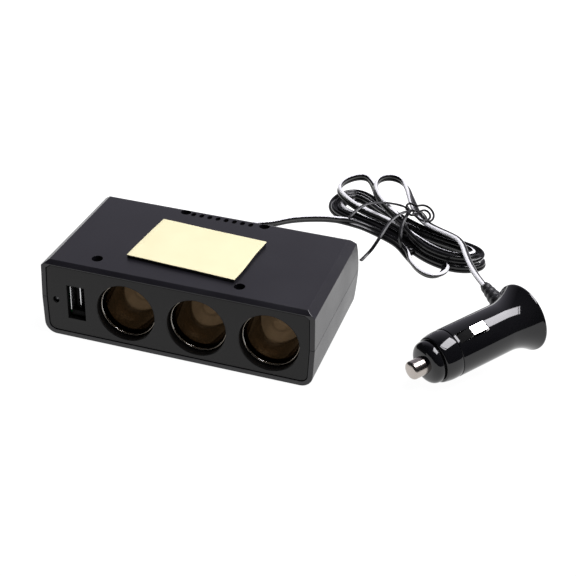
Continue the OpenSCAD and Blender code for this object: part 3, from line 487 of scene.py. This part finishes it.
def finish(name, tones, gloss, grain=None, patch=40, metal=0.0, streak=None, **sockets):
    """Procedural finish: patchy tone and gloss, and a fine bump.

    tones: darkest and lightest colour. gloss: least and most roughness.
    grain: size and depth in mm. patch: patches per metre. streak: stretch of the patches along X, Y, Z.
    """
    material = bpy.data.materials.new(name)
    material.use_nodes = True
    nodes, links = material.node_tree.nodes, material.node_tree.links
    shader = nodes["Principled BSDF"]
    place = nodes.new("ShaderNodeTexCoord")
    mapping = nodes.new("ShaderNodeMapping")
    mapping.inputs["Scale"].default_value = streak or (1, 1, 1)
    links.new(place.outputs["Object"], mapping.inputs["Vector"])
    patches = nodes.new("ShaderNodeTexNoise")
    patches.inputs["Scale"].default_value = patch
    patches.inputs["Detail"].default_value = 5
    links.new(mapping.outputs["Vector"], patches.inputs["Vector"])
    tone = nodes.new("ShaderNodeValToRGB")
    for stop, colour, at in zip(tone.color_ramp.elements, tones, tone_stops):
        stop.color = (*colour, 1)
        stop.position = at
    links.new(patches.outputs["Fac"], tone.inputs["Fac"])
    links.new(tone.outputs["Color"], shader.inputs["Base Color"])
    rough = nodes.new("ShaderNodeMapRange")
    for socket, value in zip(("From Min", "From Max", "To Min", "To Max"), (*patch_span, *gloss)):
        rough.inputs[socket].default_value = value
    links.new(patches.outputs["Fac"], rough.inputs["Value"])
    links.new(rough.outputs["Result"], shader.inputs["Roughness"])
    if grain:
        size, depth = grain
        speckle = nodes.new("ShaderNodeTexNoise")
        speckle.inputs["Scale"].default_value = 1 / (size * mm)
        speckle.inputs["Detail"].default_value = 2
        links.new(place.outputs["Object"], speckle.inputs["Vector"])
        bump = nodes.new("ShaderNodeBump")
        bump.inputs["Distance"].default_value = depth * mm
        bump.inputs["Strength"].default_value = 1
        links.new(speckle.outputs["Fac"], bump.inputs["Height"])
        links.new(bump.outputs["Normal"], shader.inputs["Normal"])
    shader.inputs["Metallic"].default_value = metal
    for socket, value in sockets.items():
        shader.inputs[socket.replace("_", " ")].default_value = value
    return material


shell_plastic = finish("satin_shell_plastic", ((0.0065, 0.006, 0.0085), (0.0085, 0.008, 0.011)), (0.3, 0.38),
                       grain=(0.22, 0.016), Specular_IOR_Level=0.48)
panel_plastic = finish("satin_panel_plastic", ((0.006, 0.0057, 0.0059), (0.008, 0.0077, 0.0078)),
                       (0.32, 0.4), grain=(0.18, 0.01), Specular_IOR_Level=0.25)
gloss_plastic = finish("polished_black_plastic", ((0.004, 0.004, 0.005), (0.007, 0.007, 0.008)),
                       (0.04, 0.08), grain=(2.5, 0.0012), Specular_IOR_Level=0.5)
dark_rubber = finish("dark_rubber", ((0.012, 0.012, 0.013), (0.02, 0.02, 0.021)), (0.38, 0.5),
                     grain=(0.3, 0.01))
bronze_metal = finish("dark_bronze_metal", ((0.2, 0.175, 0.145), (0.27, 0.236, 0.196)), (0.06, 0.1), metal=1,
                      grain=(1.2, 0.001), streak=(1, 0.15, 1), patch=90)
brass = finish("brass", ((0.5, 0.36, 0.14), (0.62, 0.46, 0.2)), (0.25, 0.4), metal=1, grain=(0.4, 0.004))
chrome = finish("polished_nickel", ((0.72, 0.71, 0.69), (0.82, 0.81, 0.79)), (0.08, 0.16), metal=1,
                grain=(0.6, 0.003))
tip_metal = finish("nickel_tip", ((0.42, 0.38, 0.35), (0.5, 0.46, 0.43)), (0.2, 0.28), metal=1,
                   grain=(0.5, 0.003))
plain_steel = finish("zinc_steel", ((0.42, 0.42, 0.44), (0.55, 0.55, 0.57)), (0.3, 0.45), metal=1,
                     grain=(0.4, 0.004))
usb_steel = finish("brushed_port_steel", ((0.6, 0.6, 0.61), (0.72, 0.72, 0.73)), (0.2, 0.32), metal=1,
                   grain=(0.3, 0.003), streak=(1, 0.1, 1), patch=200)
foam_black = finish("closed_cell_foam", ((0.009, 0.008, 0.008), (0.02, 0.018, 0.017)), (0.8, 0.95),
                    grain=(0.35, 0.08), patch=900)
liner_paper = finish("waxed_liner_paper", ((0.78, 0.73, 0.465), (0.81, 0.76, 0.49)), (0.42, 0.55),
                     grain=(0.5, 0.006), patch=60, Specular_IOR_Level=0.3)
board_lacquer = finish("green_board_lacquer", ((0.008, 0.1, 0.035), (0.014, 0.15, 0.055)), (0.3, 0.42),
                       grain=(0.6, 0.004))
# The weak glow stands in for the frontal light that reaches into the sockets
plate_metal = finish("bronze_end_plate", ((0.8, 0.66, 0.5), (0.86, 0.72, 0.56)), (0.34, 0.44), metal=1,
                     grain=(0.25, 0.02),
                     patch=400, Emission_Color=(1, 0.76, 0.5, 1), Emission_Strength=0.15)
part_black = finish("moulded_part_black", ((0.015, 0.015, 0.016), (0.024, 0.024, 0.025)), (0.45, 0.6),
                    grain=(0.2, 0.008))
can_blue = finish("blue_sleeve", ((0.02, 0.035, 0.1), (0.03, 0.05, 0.14)), (0.25, 0.35), grain=(0.5, 0.003))
wire_coat = finish("wire_coat", ((0.5, 0.5, 0.5), (0.62, 0.62, 0.62)), (0.35, 0.45), grain=(0.4, 0.004))
lens_clear = finish("smoked_lamp_lens", ((0.06, 0.06, 0.065), (0.1, 0.1, 0.105)), (0.08, 0.14),
                    grain=(0.6, 0.002), Coat_Weight=0.6)
fuse_clear = finish("fuse_glass", ((0.8, 0.84, 0.82), (0.86, 0.9, 0.88)), (0.03, 0.08), grain=(1, 0.001),
                    Transmission_Weight=0.9)
tie_plastic = finish("tie_coating", ((0.006, 0.006, 0.0065), (0.01, 0.01, 0.011)), (0.26, 0.36),
                     grain=(0.4, 0.01), Specular_IOR_Level=0.35)


tracer_white = (0.8, 0.8, 0.82, 1)
tracer_edge = (0.4, 0.6)


def cord_finish():
    """Two-core sheath: black, with a white tracer that follows the cord."""
    material = finish("cord_sheath", ((0.0035, 0.0035, 0.004), (0.006, 0.006, 0.0065)), (0.15, 0.22),
                      grain=(0.5, 0.004), patch=120, Specular_IOR_Level=0.34)
    nodes, links = material.node_tree.nodes, material.node_tree.links
    shader = nodes["Principled BSDF"]
    black = shader.inputs["Base Color"].links[0].from_socket
    mark = nodes.new("ShaderNodeAttribute")
    mark.attribute_name = "tracer"
    edge = nodes.new("ShaderNodeMapRange")
    edge.inputs["From Min"].default_value, edge.inputs["From Max"].default_value = tracer_edge
    links.new(mark.outputs["Fac"], edge.inputs["Value"])
    blend = nodes.new("ShaderNodeMix")
    blend.data_type = "RGBA"
    blend.inputs["B"].default_value = tracer_white
    links.new(edge.outputs["Result"], blend.inputs["Factor"])
    links.new(black, blend.inputs["A"])
    links.new(blend.outputs["Result"], shader.inputs["Base Color"])
    return material


cord_sheath = cord_finish()
# Near-black finish with almost no shine, painted shade for what lies deep in the holes: the socket collars,
# the dark block in the port, and the port's tongue, whose own black it darkens further.
painted_shade_black = finish("painted_shade_black", ((0.003, 0.003, 0.003), (0.004, 0.004, 0.004)), (0.55, 0.65),
                      grain=(0.3, 0.01), Specular_IOR_Level=0.06)


# Specular level of the panel on its face and inside its holes; the drop inside is painted shade.
open_shine = 0.25
recess_shine = 0.03


def shade_recesses(material):
    """Lowers the shine where the piece is marked as lying inside a hole, which paints shade on the hole
    walls.
    """
    nodes, links = material.node_tree.nodes, material.node_tree.links
    mark = nodes.new("ShaderNodeAttribute")
    mark.attribute_name = "recess"
    dull = nodes.new("ShaderNodeMapRange")
    dull.inputs["To Min"].default_value = open_shine
    dull.inputs["To Max"].default_value = recess_shine
    links.new(mark.outputs["Fac"], dull.inputs["Value"])
    links.new(dull.outputs["Result"], nodes["Principled BSDF"].inputs["Specular IOR Level"])


shade_recesses(panel_plastic)


def dress(piece, coat, slot, *nodes, body="splitter"):
    """Gives a new piece its finish and body, and hides the CAD nodes that it stands for; the slot is not
    used.
    """
    piece.data.materials.clear()
    piece.data.materials.append(coat)
    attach(piece, body)
    if nodes:
        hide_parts(*nodes)
    return piece


def coat_node(coat, *nodes):
    for node in nodes:
        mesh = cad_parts[node].data
        mesh.materials.clear()
        mesh.materials.append(coat)


# Cord and its tie
cord_path = cord_line()
cord_section, tracer_marks = cord_outline()
cord = swept("twin_cord", cord_path, cord_section, marks=tracer_marks, roll=roll_at)
dress(cord, cord_sheath, "cord_sheath", "cord_lead", "cord_hank", "cord_tail")

knot = seen(410, 211, 13.6)
tie_over = [knot, seen(404, 206.6, 13.8), seen(396, 204.2, 13.8), seen(382, 202.6, 14),
            seen(367, 204.2, 13.6), seen(357, 210, 12.6), seen(350.6, 216, 11), seen(346.6, 220.4, 9.4)]
tie_down = [knot, seen(401, 213.4, 13.8), seen(391, 221, 12.2), seen(384.6, 229.6, 10.6),
            seen(379, 238.6, 8.4), seen(372, 249, 4), seen(366.4, 255, 1.8), seen(360.8, 260.6, 1)]
tie_wrap = [knot, seen(405.4, 217.6, 13), seen(402, 225, 11.4), seen(400.6, 234, 9.8),
            seen(400, 241.6, 7.4), seen(401.2, 247.8, 3.6), (66.4, 77.6, 0.7), (68, 88, 0.6), (70, 98, 0.8),
            (71, 103.4, 3.4), (70.4, 104.6, 7.4), (68, 102.4, 11), knot]
tie_curl = [seen(409, 209, 13.6), seen(406.6, 205, 14.2), seen(409, 202.8, 14.6), seen(413, 204.4, 14.6),
            seen(417, 206.4, 14.6), seen(422, 204.8, 14.6), seen(428, 206.6, 14.2), seen(432.4, 211, 13.6),
            seen(434, 216, 13), seen(432, 220.4, 12.8), seen(428.4, 222, 12.8), seen(425, 219.4, 13),
            seen(422, 215, 13.4), seen(417.6, 211.4, 13.8), seen(412, 210, 14.2), seen(408.6, 212, 14.4),
            seen(410, 215.4, 14.4), seen(415, 215, 14.4), seen(420, 211.4, 14.4), seen(425, 209.8, 14.2),
            seen(429.4, 213, 14), seen(430.4, 217.4, 13.6), seen(427, 220.6, 13.4), seen(422.4, 221, 13.4),
            seen(417, 217.4, 13.8), seen(413, 213.4, 14.2)]
curl_radius = 0.52
curl_sides = 10
curl_up = Vector((0.2, 0.1, 1)).normalized()
tie_gap = 0.9

# Section of the tie: a round wire between two thin wings
tie_section = [(0.4, 0), (0.34, 0.26), (0.2, 0.42), (0.17, 0.8), (0.08, 0.9), (-0.08, 0.9), (-0.17, 0.8),
               (-0.2, 0.42), (-0.34, 0.26), (-0.4, 0), (-0.34, -0.26), (-0.2, -0.42), (-0.17, -0.8),
               (-0.08, -0.9), (0.08, -0.9), (0.17, -0.8), (0.2, -0.42), (0.34, -0.26)]


def make_tie():
    across = to_floor(1, 0, 0) - to_floor(0, 0, 0)
    round_wire = [(curl_radius * math.cos(a), curl_radius * math.sin(a))
                  for a in (math.tau * k / curl_sides for k in range(curl_sides))]
    pieces = [swept("tie_band", relaxed(evenly(curve(line), tie_gap), 3), tie_section, up=across)
              for line in (tie_over, tie_down, tie_wrap)]
    curl = relaxed(evenly(curve(tie_curl), tie_gap), 4)
    pieces.append(swept("tie_curl", curl, round_wire, up=curl_up))
    return joined(pieces, "wire_tie")


tie = make_tie()
dress(tie, tie_plastic, "tie_plastic", "twist_tie")


# Box: how near the outside an edge has to lie to be rounded, and by how much it is rounded
shell_edge = 0.22
panel_edge = 0.3
top_near = 0.3
front_near = 0.4
upper_end_near = 3.6
lower_end_near = 1.3
parting_near = 0.2
back_from_y, back_from_z = 24, 25.5
panel_face_near = 0.05
recess_depth = 0.35
recess_half_width = 54


def on_upper_skin(p):
    return (p.z > box_height - top_near or p.y < front_y + front_near
            or abs(p.x) > box_width / 2 - upper_end_near or (p.y > back_from_y and p.z > back_from_z))


def on_lower_skin(p):
    return (p.y < front_y + front_near
            or abs(p.x) > box_width / 2 - lower_end_near and p.z > parting_z - parting_near)


def on_panel_face(p):
    return p.y < panel_face_y + panel_face_near


def bore_place(x):
    """Place of a socket's mouth, with the distances counted into the box."""
    return Matrix.Translation(Vector((x, lip_y, socket_z))) @ along_y


upper = copy_of_node("upper_shell", "upper_shell_skin", on_upper_skin, shell_edge)
dress(upper, shell_plastic, "shell_plastic", "upper_shell")
lower = copy_of_node("lower_shell", "lower_shell_skin", on_lower_skin, shell_edge)
dress(lower, shell_plastic, "shell_plastic", "lower_shell")
panel = copy_of_node("front_panel", "front_panel_skin", on_panel_face, panel_edge, segments=3)
mouth = [(-8, 0), (-8, 12.5), (-4.2, 12.5), (-3.9, mouth_radius), (-0.1, mouth_radius), (-0.1, 0)]
for x in socket_x:
    carve(panel, turned("mouth_cutter", mouth, bore_place(x), bore_sides))
flat_faced(panel)
# Points behind the panel's face are marked; there the panel's finish gets its painted shade.
recess_mark = panel.data.attributes.new("recess", "FLOAT", "POINT")
for mark, v in zip(recess_mark.data, panel.data.vertices):
    inside = v.co.y > (panel_face_y + recess_depth) * mm and abs(v.co.x) < recess_half_width * mm
    mark.value = 1.0 if inside else 0.0
dress(panel, panel_plastic, "panel_plastic", "front_panel")


# Sockets
sleeve_radius = bore_radius + bore_wall
sleeve_end = bore_length + 3.5
seat_start = 33.2
seat_radius = 10.4
seat_end = 37.6
end_hole_radius = 8.6
sleeve_wall = [(sleeve_end, sleeve_radius), (0.6, sleeve_radius), (0, 11.3), (-0.9, 11.62), (-1.25, 11.66),
               (-1.5, 11.5), (-1.45, 11.3), (-1.1, 11.2), (0, 10.9), (1.5, bore_radius),
               (seat_start, bore_radius), (seat_start, seat_radius), (seat_end, seat_radius),
               (seat_end, end_hole_radius), (sleeve_end, end_hole_radius), (sleeve_end, sleeve_radius)]
bead_at = -1.05
bead_radius = 11.44
bead_thick = 0.3
bead_steps = 12
bead = [(bead_at + bead_thick * math.sin(a), bead_radius + bead_thick * math.cos(a))
        for a in (math.tau * k / bead_steps for k in range(bead_steps + 1))]
collar = [(0.6, 11.2), (-0.3, 11.75), (-0.3, lip_radius), (0.6, lip_radius), (0.6, 11.2)]


def socket(number, x):
    """Drawn metal sleeve with a seat for the end plate, its bright rim, and the collar round it in
    near-black, whose extra darkness is painted shade.
    """
    place = bore_place(x)
    dress(turned(f"socket_sleeve_{number}", softened(sleeve_wall, 0.3), place, bore_sides), bronze_metal,
          "socket_metal", f"socket_barrel_{number}")
    dress(turned(f"socket_rim_{number}", bead, place, bore_sides), chrome, "socket_metal")
    # The collar is panel plastic, darkened with the near-black finish as painted shade.
    dress(turned(f"socket_collar_{number}", softened(collar, 0.1), place, sides=96), painted_shade_black,
          "panel_plastic")


for number, x in enumerate(socket_x, 1):
    socket(number, x)
    coat_node(plate_metal, f"contact_plate_{number}", f"centre_contact_{number}")


# USB port
port_x = -41.8
port_front_y = -30.6
tongue_right_x = -41.25
port_half_width = 2.85
port_low, port_high = 9.65, 22.75
port_depth = 14
port_wall, port_left_wall = 0.3, 0.34
port_set_back = 3
port_foot = 2.6
port_edge = 0.1
blade_left, blade_right = tongue_right_x - 0.35, tongue_right_x + 0.12
blade_front, blade_back, blade_top = port_front_y + 2.2, port_front_y + 5, port_high - 0.5
blade_edge = 0.12
# Near-black block low in the port's opening, which stands for the shade in the cavity
shade_block_front, shade_block_back, shade_block_top = port_front_y + 0.5, port_front_y + 4, port_low + 2.4
shade_block_right_gap = 0.1
shade_block_edge = 0.25


def port_sleeve():
    """Folded sleeve: its left wall reaches the front, and the other walls stand back in the shade."""
    left, right = port_x - port_half_width, port_x + port_half_width
    inner, back = port_front_y + port_set_back, port_front_y + port_depth
    corners = [((left, port_front_y, port_low + port_foot), (left + port_left_wall, back, port_high)),
               ((right - port_wall, inner, port_low), (right, back, port_high)),
               ((left, inner, port_high - port_wall), (right, back, port_high)),
               ((left, inner, port_low), (right, back, port_low + port_wall)),
               ((left, back - port_wall, port_low), (right, back, port_high))]
    return joined([block("wall", low, high, port_edge) for low, high in corners], "port_sleeve")


def port_blade():
    """Bright contact spring that wraps the tongue's right side."""
    return block("port_blade", (blade_left, blade_front, port_low + port_foot),
                 (blade_right, blade_back, blade_top), blade_edge)


def port_shade_block():
    """Near-black block in the lower part of the port's opening, which paints the shade there."""
    return block("port_shade_block", (port_x - port_half_width, shade_block_front, port_low),
                 (port_x + port_half_width - shade_block_right_gap, shade_block_back, shade_block_top), shade_block_edge)


dress(port_sleeve(), usb_steel, "usb_metal", "usb_shell")
dress(port_blade(), usb_steel, "usb_metal")
dress(port_shade_block(), painted_shade_black, "usb_plastic")
# The tongue keeps its own black, darkened further by the near-black finish as painted shade.
coat_node(painted_shade_black, "usb_tongue")

# Lamp
lamp_x = -50.4
lamp_dome = [(-1.5, 0), (-1.42, 0.45), (-1.15, 0.85), (-0.75, 1.1), (-0.2, 1.2), (0.2, 1.2), (0.2, 0)]
lamp_place = Matrix.Translation(Vector((lamp_x, panel_face_y + panel_thick, socket_z))) @ along_y
dress(turned("lamp_dome", softened(lamp_dome, 0.2), lamp_place, sides=40), lens_clear, "lamp_lens")
coat_node(lens_clear, "indicator_lamp")

# Pad and liner
pad_width = 45.8
pad_depth = 32
pad_middle = Vector((-1, -4.6, 0))
pad_turn = math.radians(-3.9)
pad_place = Matrix.Translation(pad_middle) @ Matrix.Rotation(pad_turn, 4, "Z")
foam_top = 34.9
liner_thick = 0.2
sheet_cuts = 24
ripple_seed = 5
noise.seed_set(ripple_seed)


def rippled(piece, amount, size):
    """Moves the points of a flat piece a little, so that its cut edges wander."""
    for v in piece.data.vertices:
        drift = noise.noise_vector(v.co / mm / size)
        v.co += Vector((drift.x, drift.y, 0)) * amount * mm
    piece.data.update()


def pad_sheet(name, inset, low, high, bevel):
    """Thin sheet of the pad, finely divided so that its edges can wander."""
    deselect()
    bpy.ops.mesh.primitive_cube_add(size=1, location=(0, 0, (low + high) / 2))
    piece = bpy.context.object
    bpy.ops.object.mode_set(mode="EDIT")
    bpy.ops.transform.resize(value=(pad_width - 2 * inset, pad_depth - 2 * inset, high - low),
                             center_override=(0, 0, (low + high) / 2))
    bpy.ops.mesh.bevel(offset=bevel, segments=2, affect="EDGES")
    bpy.ops.mesh.select_all(action="SELECT")
    bpy.ops.mesh.subdivide(number_cuts=sheet_cuts)
    bpy.ops.object.mode_set(mode="OBJECT")
    return settle(piece, name, pad_place, smooth_angle=50)


foam = pad_sheet("foam_layer", inset=0.15, low=box_height, high=foam_top, bevel=0.25)
rippled(foam, amount=0.25, size=6)
dress(foam, foam_black, "foam", "foam_pad")
liner = pad_sheet("liner_sheet", inset=0, low=foam_top, high=foam_top + liner_thick, bevel=0.04)
rippled(liner, amount=0.3, size=14)
dress(liner, liner_paper, "liner_paper", "release_liner")


# Grommet in the rear wall. Each rib starts, ends and drops to its groove at these shares of its step.
rib_from, rib_to, groove_from, groove_to = 0.08, 0.6, 0.68, 0.98
rib_taper = 0.985


def ribbed(start, end, first, last, depth, ribs=5):
    """Outline of ribs that get slimmer along a tapering sleeve, from the first to the last radius."""
    step = (end - start) / ribs
    line = []
    for k in range(ribs):
        radius = first + (last - first) * k / (ribs - 1)
        at = start + k * step
        line += [(at + rib_from * step, radius), (at + rib_to * step, radius * rib_taper),
                 (at + groove_from * step, radius - depth), (at + groove_to * step, radius - depth)]
    return line


wall_outside_y = 32
grommet_place = Matrix.Translation(Vector((cord_exit.x, wall_outside_y, cord_exit.z))) @ along_y
grommet_end = 10
sleeve_from = 0.05
grommet = [(-4.16, 0), (-4.16, 4.8), (-2.66, 4.8), (-2.66, 3.5), (sleeve_from, 3.5), (sleeve_from, 4.3)]
grommet += ribbed(sleeve_from, grommet_end, first=4.3, last=2.7, depth=0.5)
grommet += [(grommet_end, 2.2), (grommet_end - 0.4, 0)]
dress(turned("cord_sleeve", softened(grommet, 0.18, 2), grommet_place, sides=56), dark_rubber,
      "strain_rubber", "cord_grommet")

# Plug
plug_x = plug_place @ along_x
barrel_radius = 10
ring_start, ring_end = 9.95, 17.45
flare_start, rim_x, rim_radius = 43, 54.8, 14
flare_steps = 18
flare_power = 2.2
inner_radius = 8.4
mouth_lip, mouth_inner_radius, cap_seat_x = 0.8, 12.35, 53.4
window_start, window_length, window_width = 18.65, 14.2, 4.6
window_low, window_high, window_edge = 4.2, 14, 0.35
contact_turn = 25


def plug_shell():
    """Polished barrel that flares to its rim, with a window for each side contact."""
    flare = [(flare_start + (rim_x - flare_start) * k / flare_steps,
              barrel_radius + (rim_radius - barrel_radius) * (k / flare_steps) ** flare_power)
             for k in range(flare_steps + 1)]
    outline = ([(ring_end, inner_radius), (ring_end, barrel_radius)] + flare
               + [(rim_x + mouth_lip, rim_radius), (rim_x + mouth_lip, mouth_inner_radius),
                  (cap_seat_x, mouth_inner_radius), (cap_seat_x, inner_radius), (ring_end, inner_radius)])
    piece = turned("plug_shell", softened(outline, 0.35, 4), plug_x, sides=144)
    for angle in (contact_turn, contact_turn + 180):
        turn = plug_place @ Matrix.Rotation(math.radians(angle), 4, "X")
        carve(piece, block("window", (window_start, -window_width / 2, window_low),
                           (window_start + window_length, window_width / 2, window_high), window_edge,
                           segments=3, place=turn))
    pick(piece)
    bpy.ops.object.shade_smooth_by_angle(angle=math.radians(35))
    return piece


dress(plug_shell(), gloss_plastic, "plug_gloss", "plug_body")

crown_radius, crown_x, crown_fall = 9.98, 15.2, 0.0287
crown = [(x, crown_radius - crown_fall * (x - crown_x) ** 2)
         for x in (10.3, 11.2, 12.2, 13.2, 14.2, 15.2, 16.2, 17.2)]
front_ring = ([(ring_start, 6.46), (ring_start, 8.9)] + crown
              + [(ring_end, 9.6), (ring_end, 8.35), (18.45, 8.35), (18.45, 6.46), (ring_start, 6.46)])
dress(turned("plug_ring", softened(front_ring, 0.3), plug_x, sides=128), gloss_plastic, "plug_gloss",
      "plug_front_ring")
rear_cap = [(cap_seat_x, 0), (cap_seat_x, 12.3), (55.6, 12.3), (56.14, 9.84), (56.45, 4.92), (56.5, 0)]
dress(turned("plug_end_cap", softened(rear_cap, 0.4), plug_x, sides=96), gloss_plastic, "plug_gloss",
      "plug_rear_cap")
nose = [(4.9, 3.76), (4.96, 4.6), (5.14, 5.6), (5.45, 6.5), (5.9, 7.3), (6.5, 7.95), (7.2, 8.35), (8, 8.56),
        (8.9, 8.6), (9.2, 8.3), (9.2, 6.4), (15.2, 6.4), (15.2, 5.3), (6.9, 5.3), (6.9, 3.76), (4.9, 3.76)]
dress(turned("plug_nose", softened(nose, 0.3), plug_x, sides=112), gloss_plastic, "plug_gloss", "nose_cap",
      body="screw_cap")
washer = [(9.26, 6.46), (9.26, 7.6), (9.89, 7.6), (9.89, 6.46), (9.26, 6.46)]
dress(turned("plug_washer", softened(washer, 0.12), plug_x, sides=80), dark_rubber, "washer_rubber",
      "cap_washer", body="cap_slide")
tip = [(-1.4, 0), (-1.36, 1.6), (-1.25, 2.6), (-0.88, 3.33), (-0.22, 3.7), (6.9, 3.7), (6.9, 5), (7.9, 5),
       (7.9, 2.96), (9.7, 2.96), (9.7, 0)]
dress(turned("plug_tip", softened(tip, 0.25), plug_x, sides=80), tip_metal, "tip_metal", "tip_pin",
      body="tip")

relief = [(relief_start, 0), (relief_start, 4.1), (9.9, 4.1)]
relief += ribbed(10.2, relief_out, first=3.7, last=2.35, depth=0.75)
relief += [(relief_out, 1.9), (relief_out - 0.3, 0)]
dress(turned("relief_sleeve", softened(relief, 0.25, 2), relief_place @ along_x, sides=56), dark_rubber,
      "strain_rubber", "plug_strain_relief")

spring_edge = 0.12
for side in ("upper", "lower"):
    strip = copy_of_node(f"side_contact_{side}", f"contact_spring_{side}", lambda p: True, spring_edge)
    dress(strip, chrome, "side_contact_metal", f"side_contact_{side}", body=f"{side}_spring_strip")

# Inside pieces that keep their CAD shapes
coat_node(brass, "positive_strip", "negative_strip", "fuse_terminal")
coat_node(wire_coat, "inner_wires")
coat_node(board_lacquer, "circuit_board")
coat_node(part_black, "choke_coil", "regulator_chip", "diode")
coat_node(can_blue, "capacitors")
coat_node(plain_steel, "shell_screws", "fuse_spring")
coat_node(fuse_clear, "fuse_glass")
coat_node(chrome, "fuse_caps")


# Floor, light and background, in metres
floor_size = 8
floor_z = -0.0003
glow_from_y, glow_to_y = 0.0, 0.25
near_glow, far_glow = 0.98, 1.7


def floor_finish():
    """White and evenly lit from below, and brighter behind the object than in front of it."""
    material = finish("white_floor", ((0.05, 0.05, 0.05), (0.06, 0.06, 0.06)), (0.8, 0.9), patch=3,
                      Specular_IOR_Level=0)
    nodes, links = material.node_tree.nodes, material.node_tree.links
    shader = nodes["Principled BSDF"]
    shader.inputs["Emission Strength"].default_value = 1
    place = nodes.new("ShaderNodeTexCoord")
    split = nodes.new("ShaderNodeSeparateXYZ")
    glow = nodes.new("ShaderNodeMapRange")
    for socket, value in zip(("From Min", "From Max", "To Min", "To Max"),
                             (glow_from_y, glow_to_y, near_glow, far_glow)):
        glow.inputs[socket].default_value = value
    links.new(place.outputs["Object"], split.inputs["Vector"])
    links.new(split.outputs["Y"], glow.inputs["Value"])
    links.new(glow.outputs["Result"], shader.inputs["Emission Color"])
    return material


def make_floor():
    deselect()
    bpy.ops.mesh.primitive_plane_add(size=floor_size, location=(0, 0, floor_z))
    floor = bpy.context.object
    floor.name = "floor"
    floor.data.materials.append(floor_finish())


overhead = Vector((0.325, 0.15, 0.93)).normalized()
light_target = Vector((0.03, 0.03, 0.01))
light_distance = 1.2
light_turn = math.radians(51)
light_radiance = 13
light_colour = (0.97, 0.955, 1)


def soft_light(name, size, shift=0.0):
    """Rectangular soft box overhead, moved aside along its own short way by a shift."""
    data = bpy.data.lights.new(name, "AREA")
    data.shape = "RECTANGLE"
    data.size, data.size_y = size
    data.color = light_colour
    data.energy = light_radiance * math.pi * size[0] * size[1]
    light = bpy.data.objects.new(name, data)
    light.matrix_world = (Matrix.Translation(light_target + overhead * light_distance)
                          @ overhead.to_track_quat("Z", "Y").to_matrix().to_4x4()
                          @ Matrix.Rotation(light_turn, 4, "Z") @ Matrix.Translation((0, shift, 0)))
    bpy.context.scene.collection.objects.link(light)


# How far back each part of the room begins, and its colour
dark_room = (0.2, (0.01, 0.01, 0.011, 1))
pale_wall = (0.95, (0.5, 0.485, 0.56, 1))


def dim_surround():
    """A dim room over the white floor, with a paler wall at the back."""
    world = bpy.data.worlds.new("surround")
    bpy.context.scene.world = world
    world.use_nodes = True
    nodes, links = world.node_tree.nodes, world.node_tree.links
    place = nodes.new("ShaderNodeTexCoord")
    split = nodes.new("ShaderNodeSeparateXYZ")
    ramp = nodes.new("ShaderNodeValToRGB")
    links.new(place.outputs["Generated"], split.inputs["Vector"])
    links.new(split.outputs["Y"], ramp.inputs["Fac"])
    front, back = ramp.color_ramp.elements
    front.position, front.color = dark_room
    back.position, back.color = pale_wall
    links.new(ramp.outputs["Color"], nodes["Background"].inputs["Color"])


make_floor()
dim_surround()
soft_light("overhead_box", (0.6, 0.84))
soft_light("overhead_strip", (0.6, 0.08), shift=0.5)
bpy.context.scene.view_settings.view_transform = "Standard"
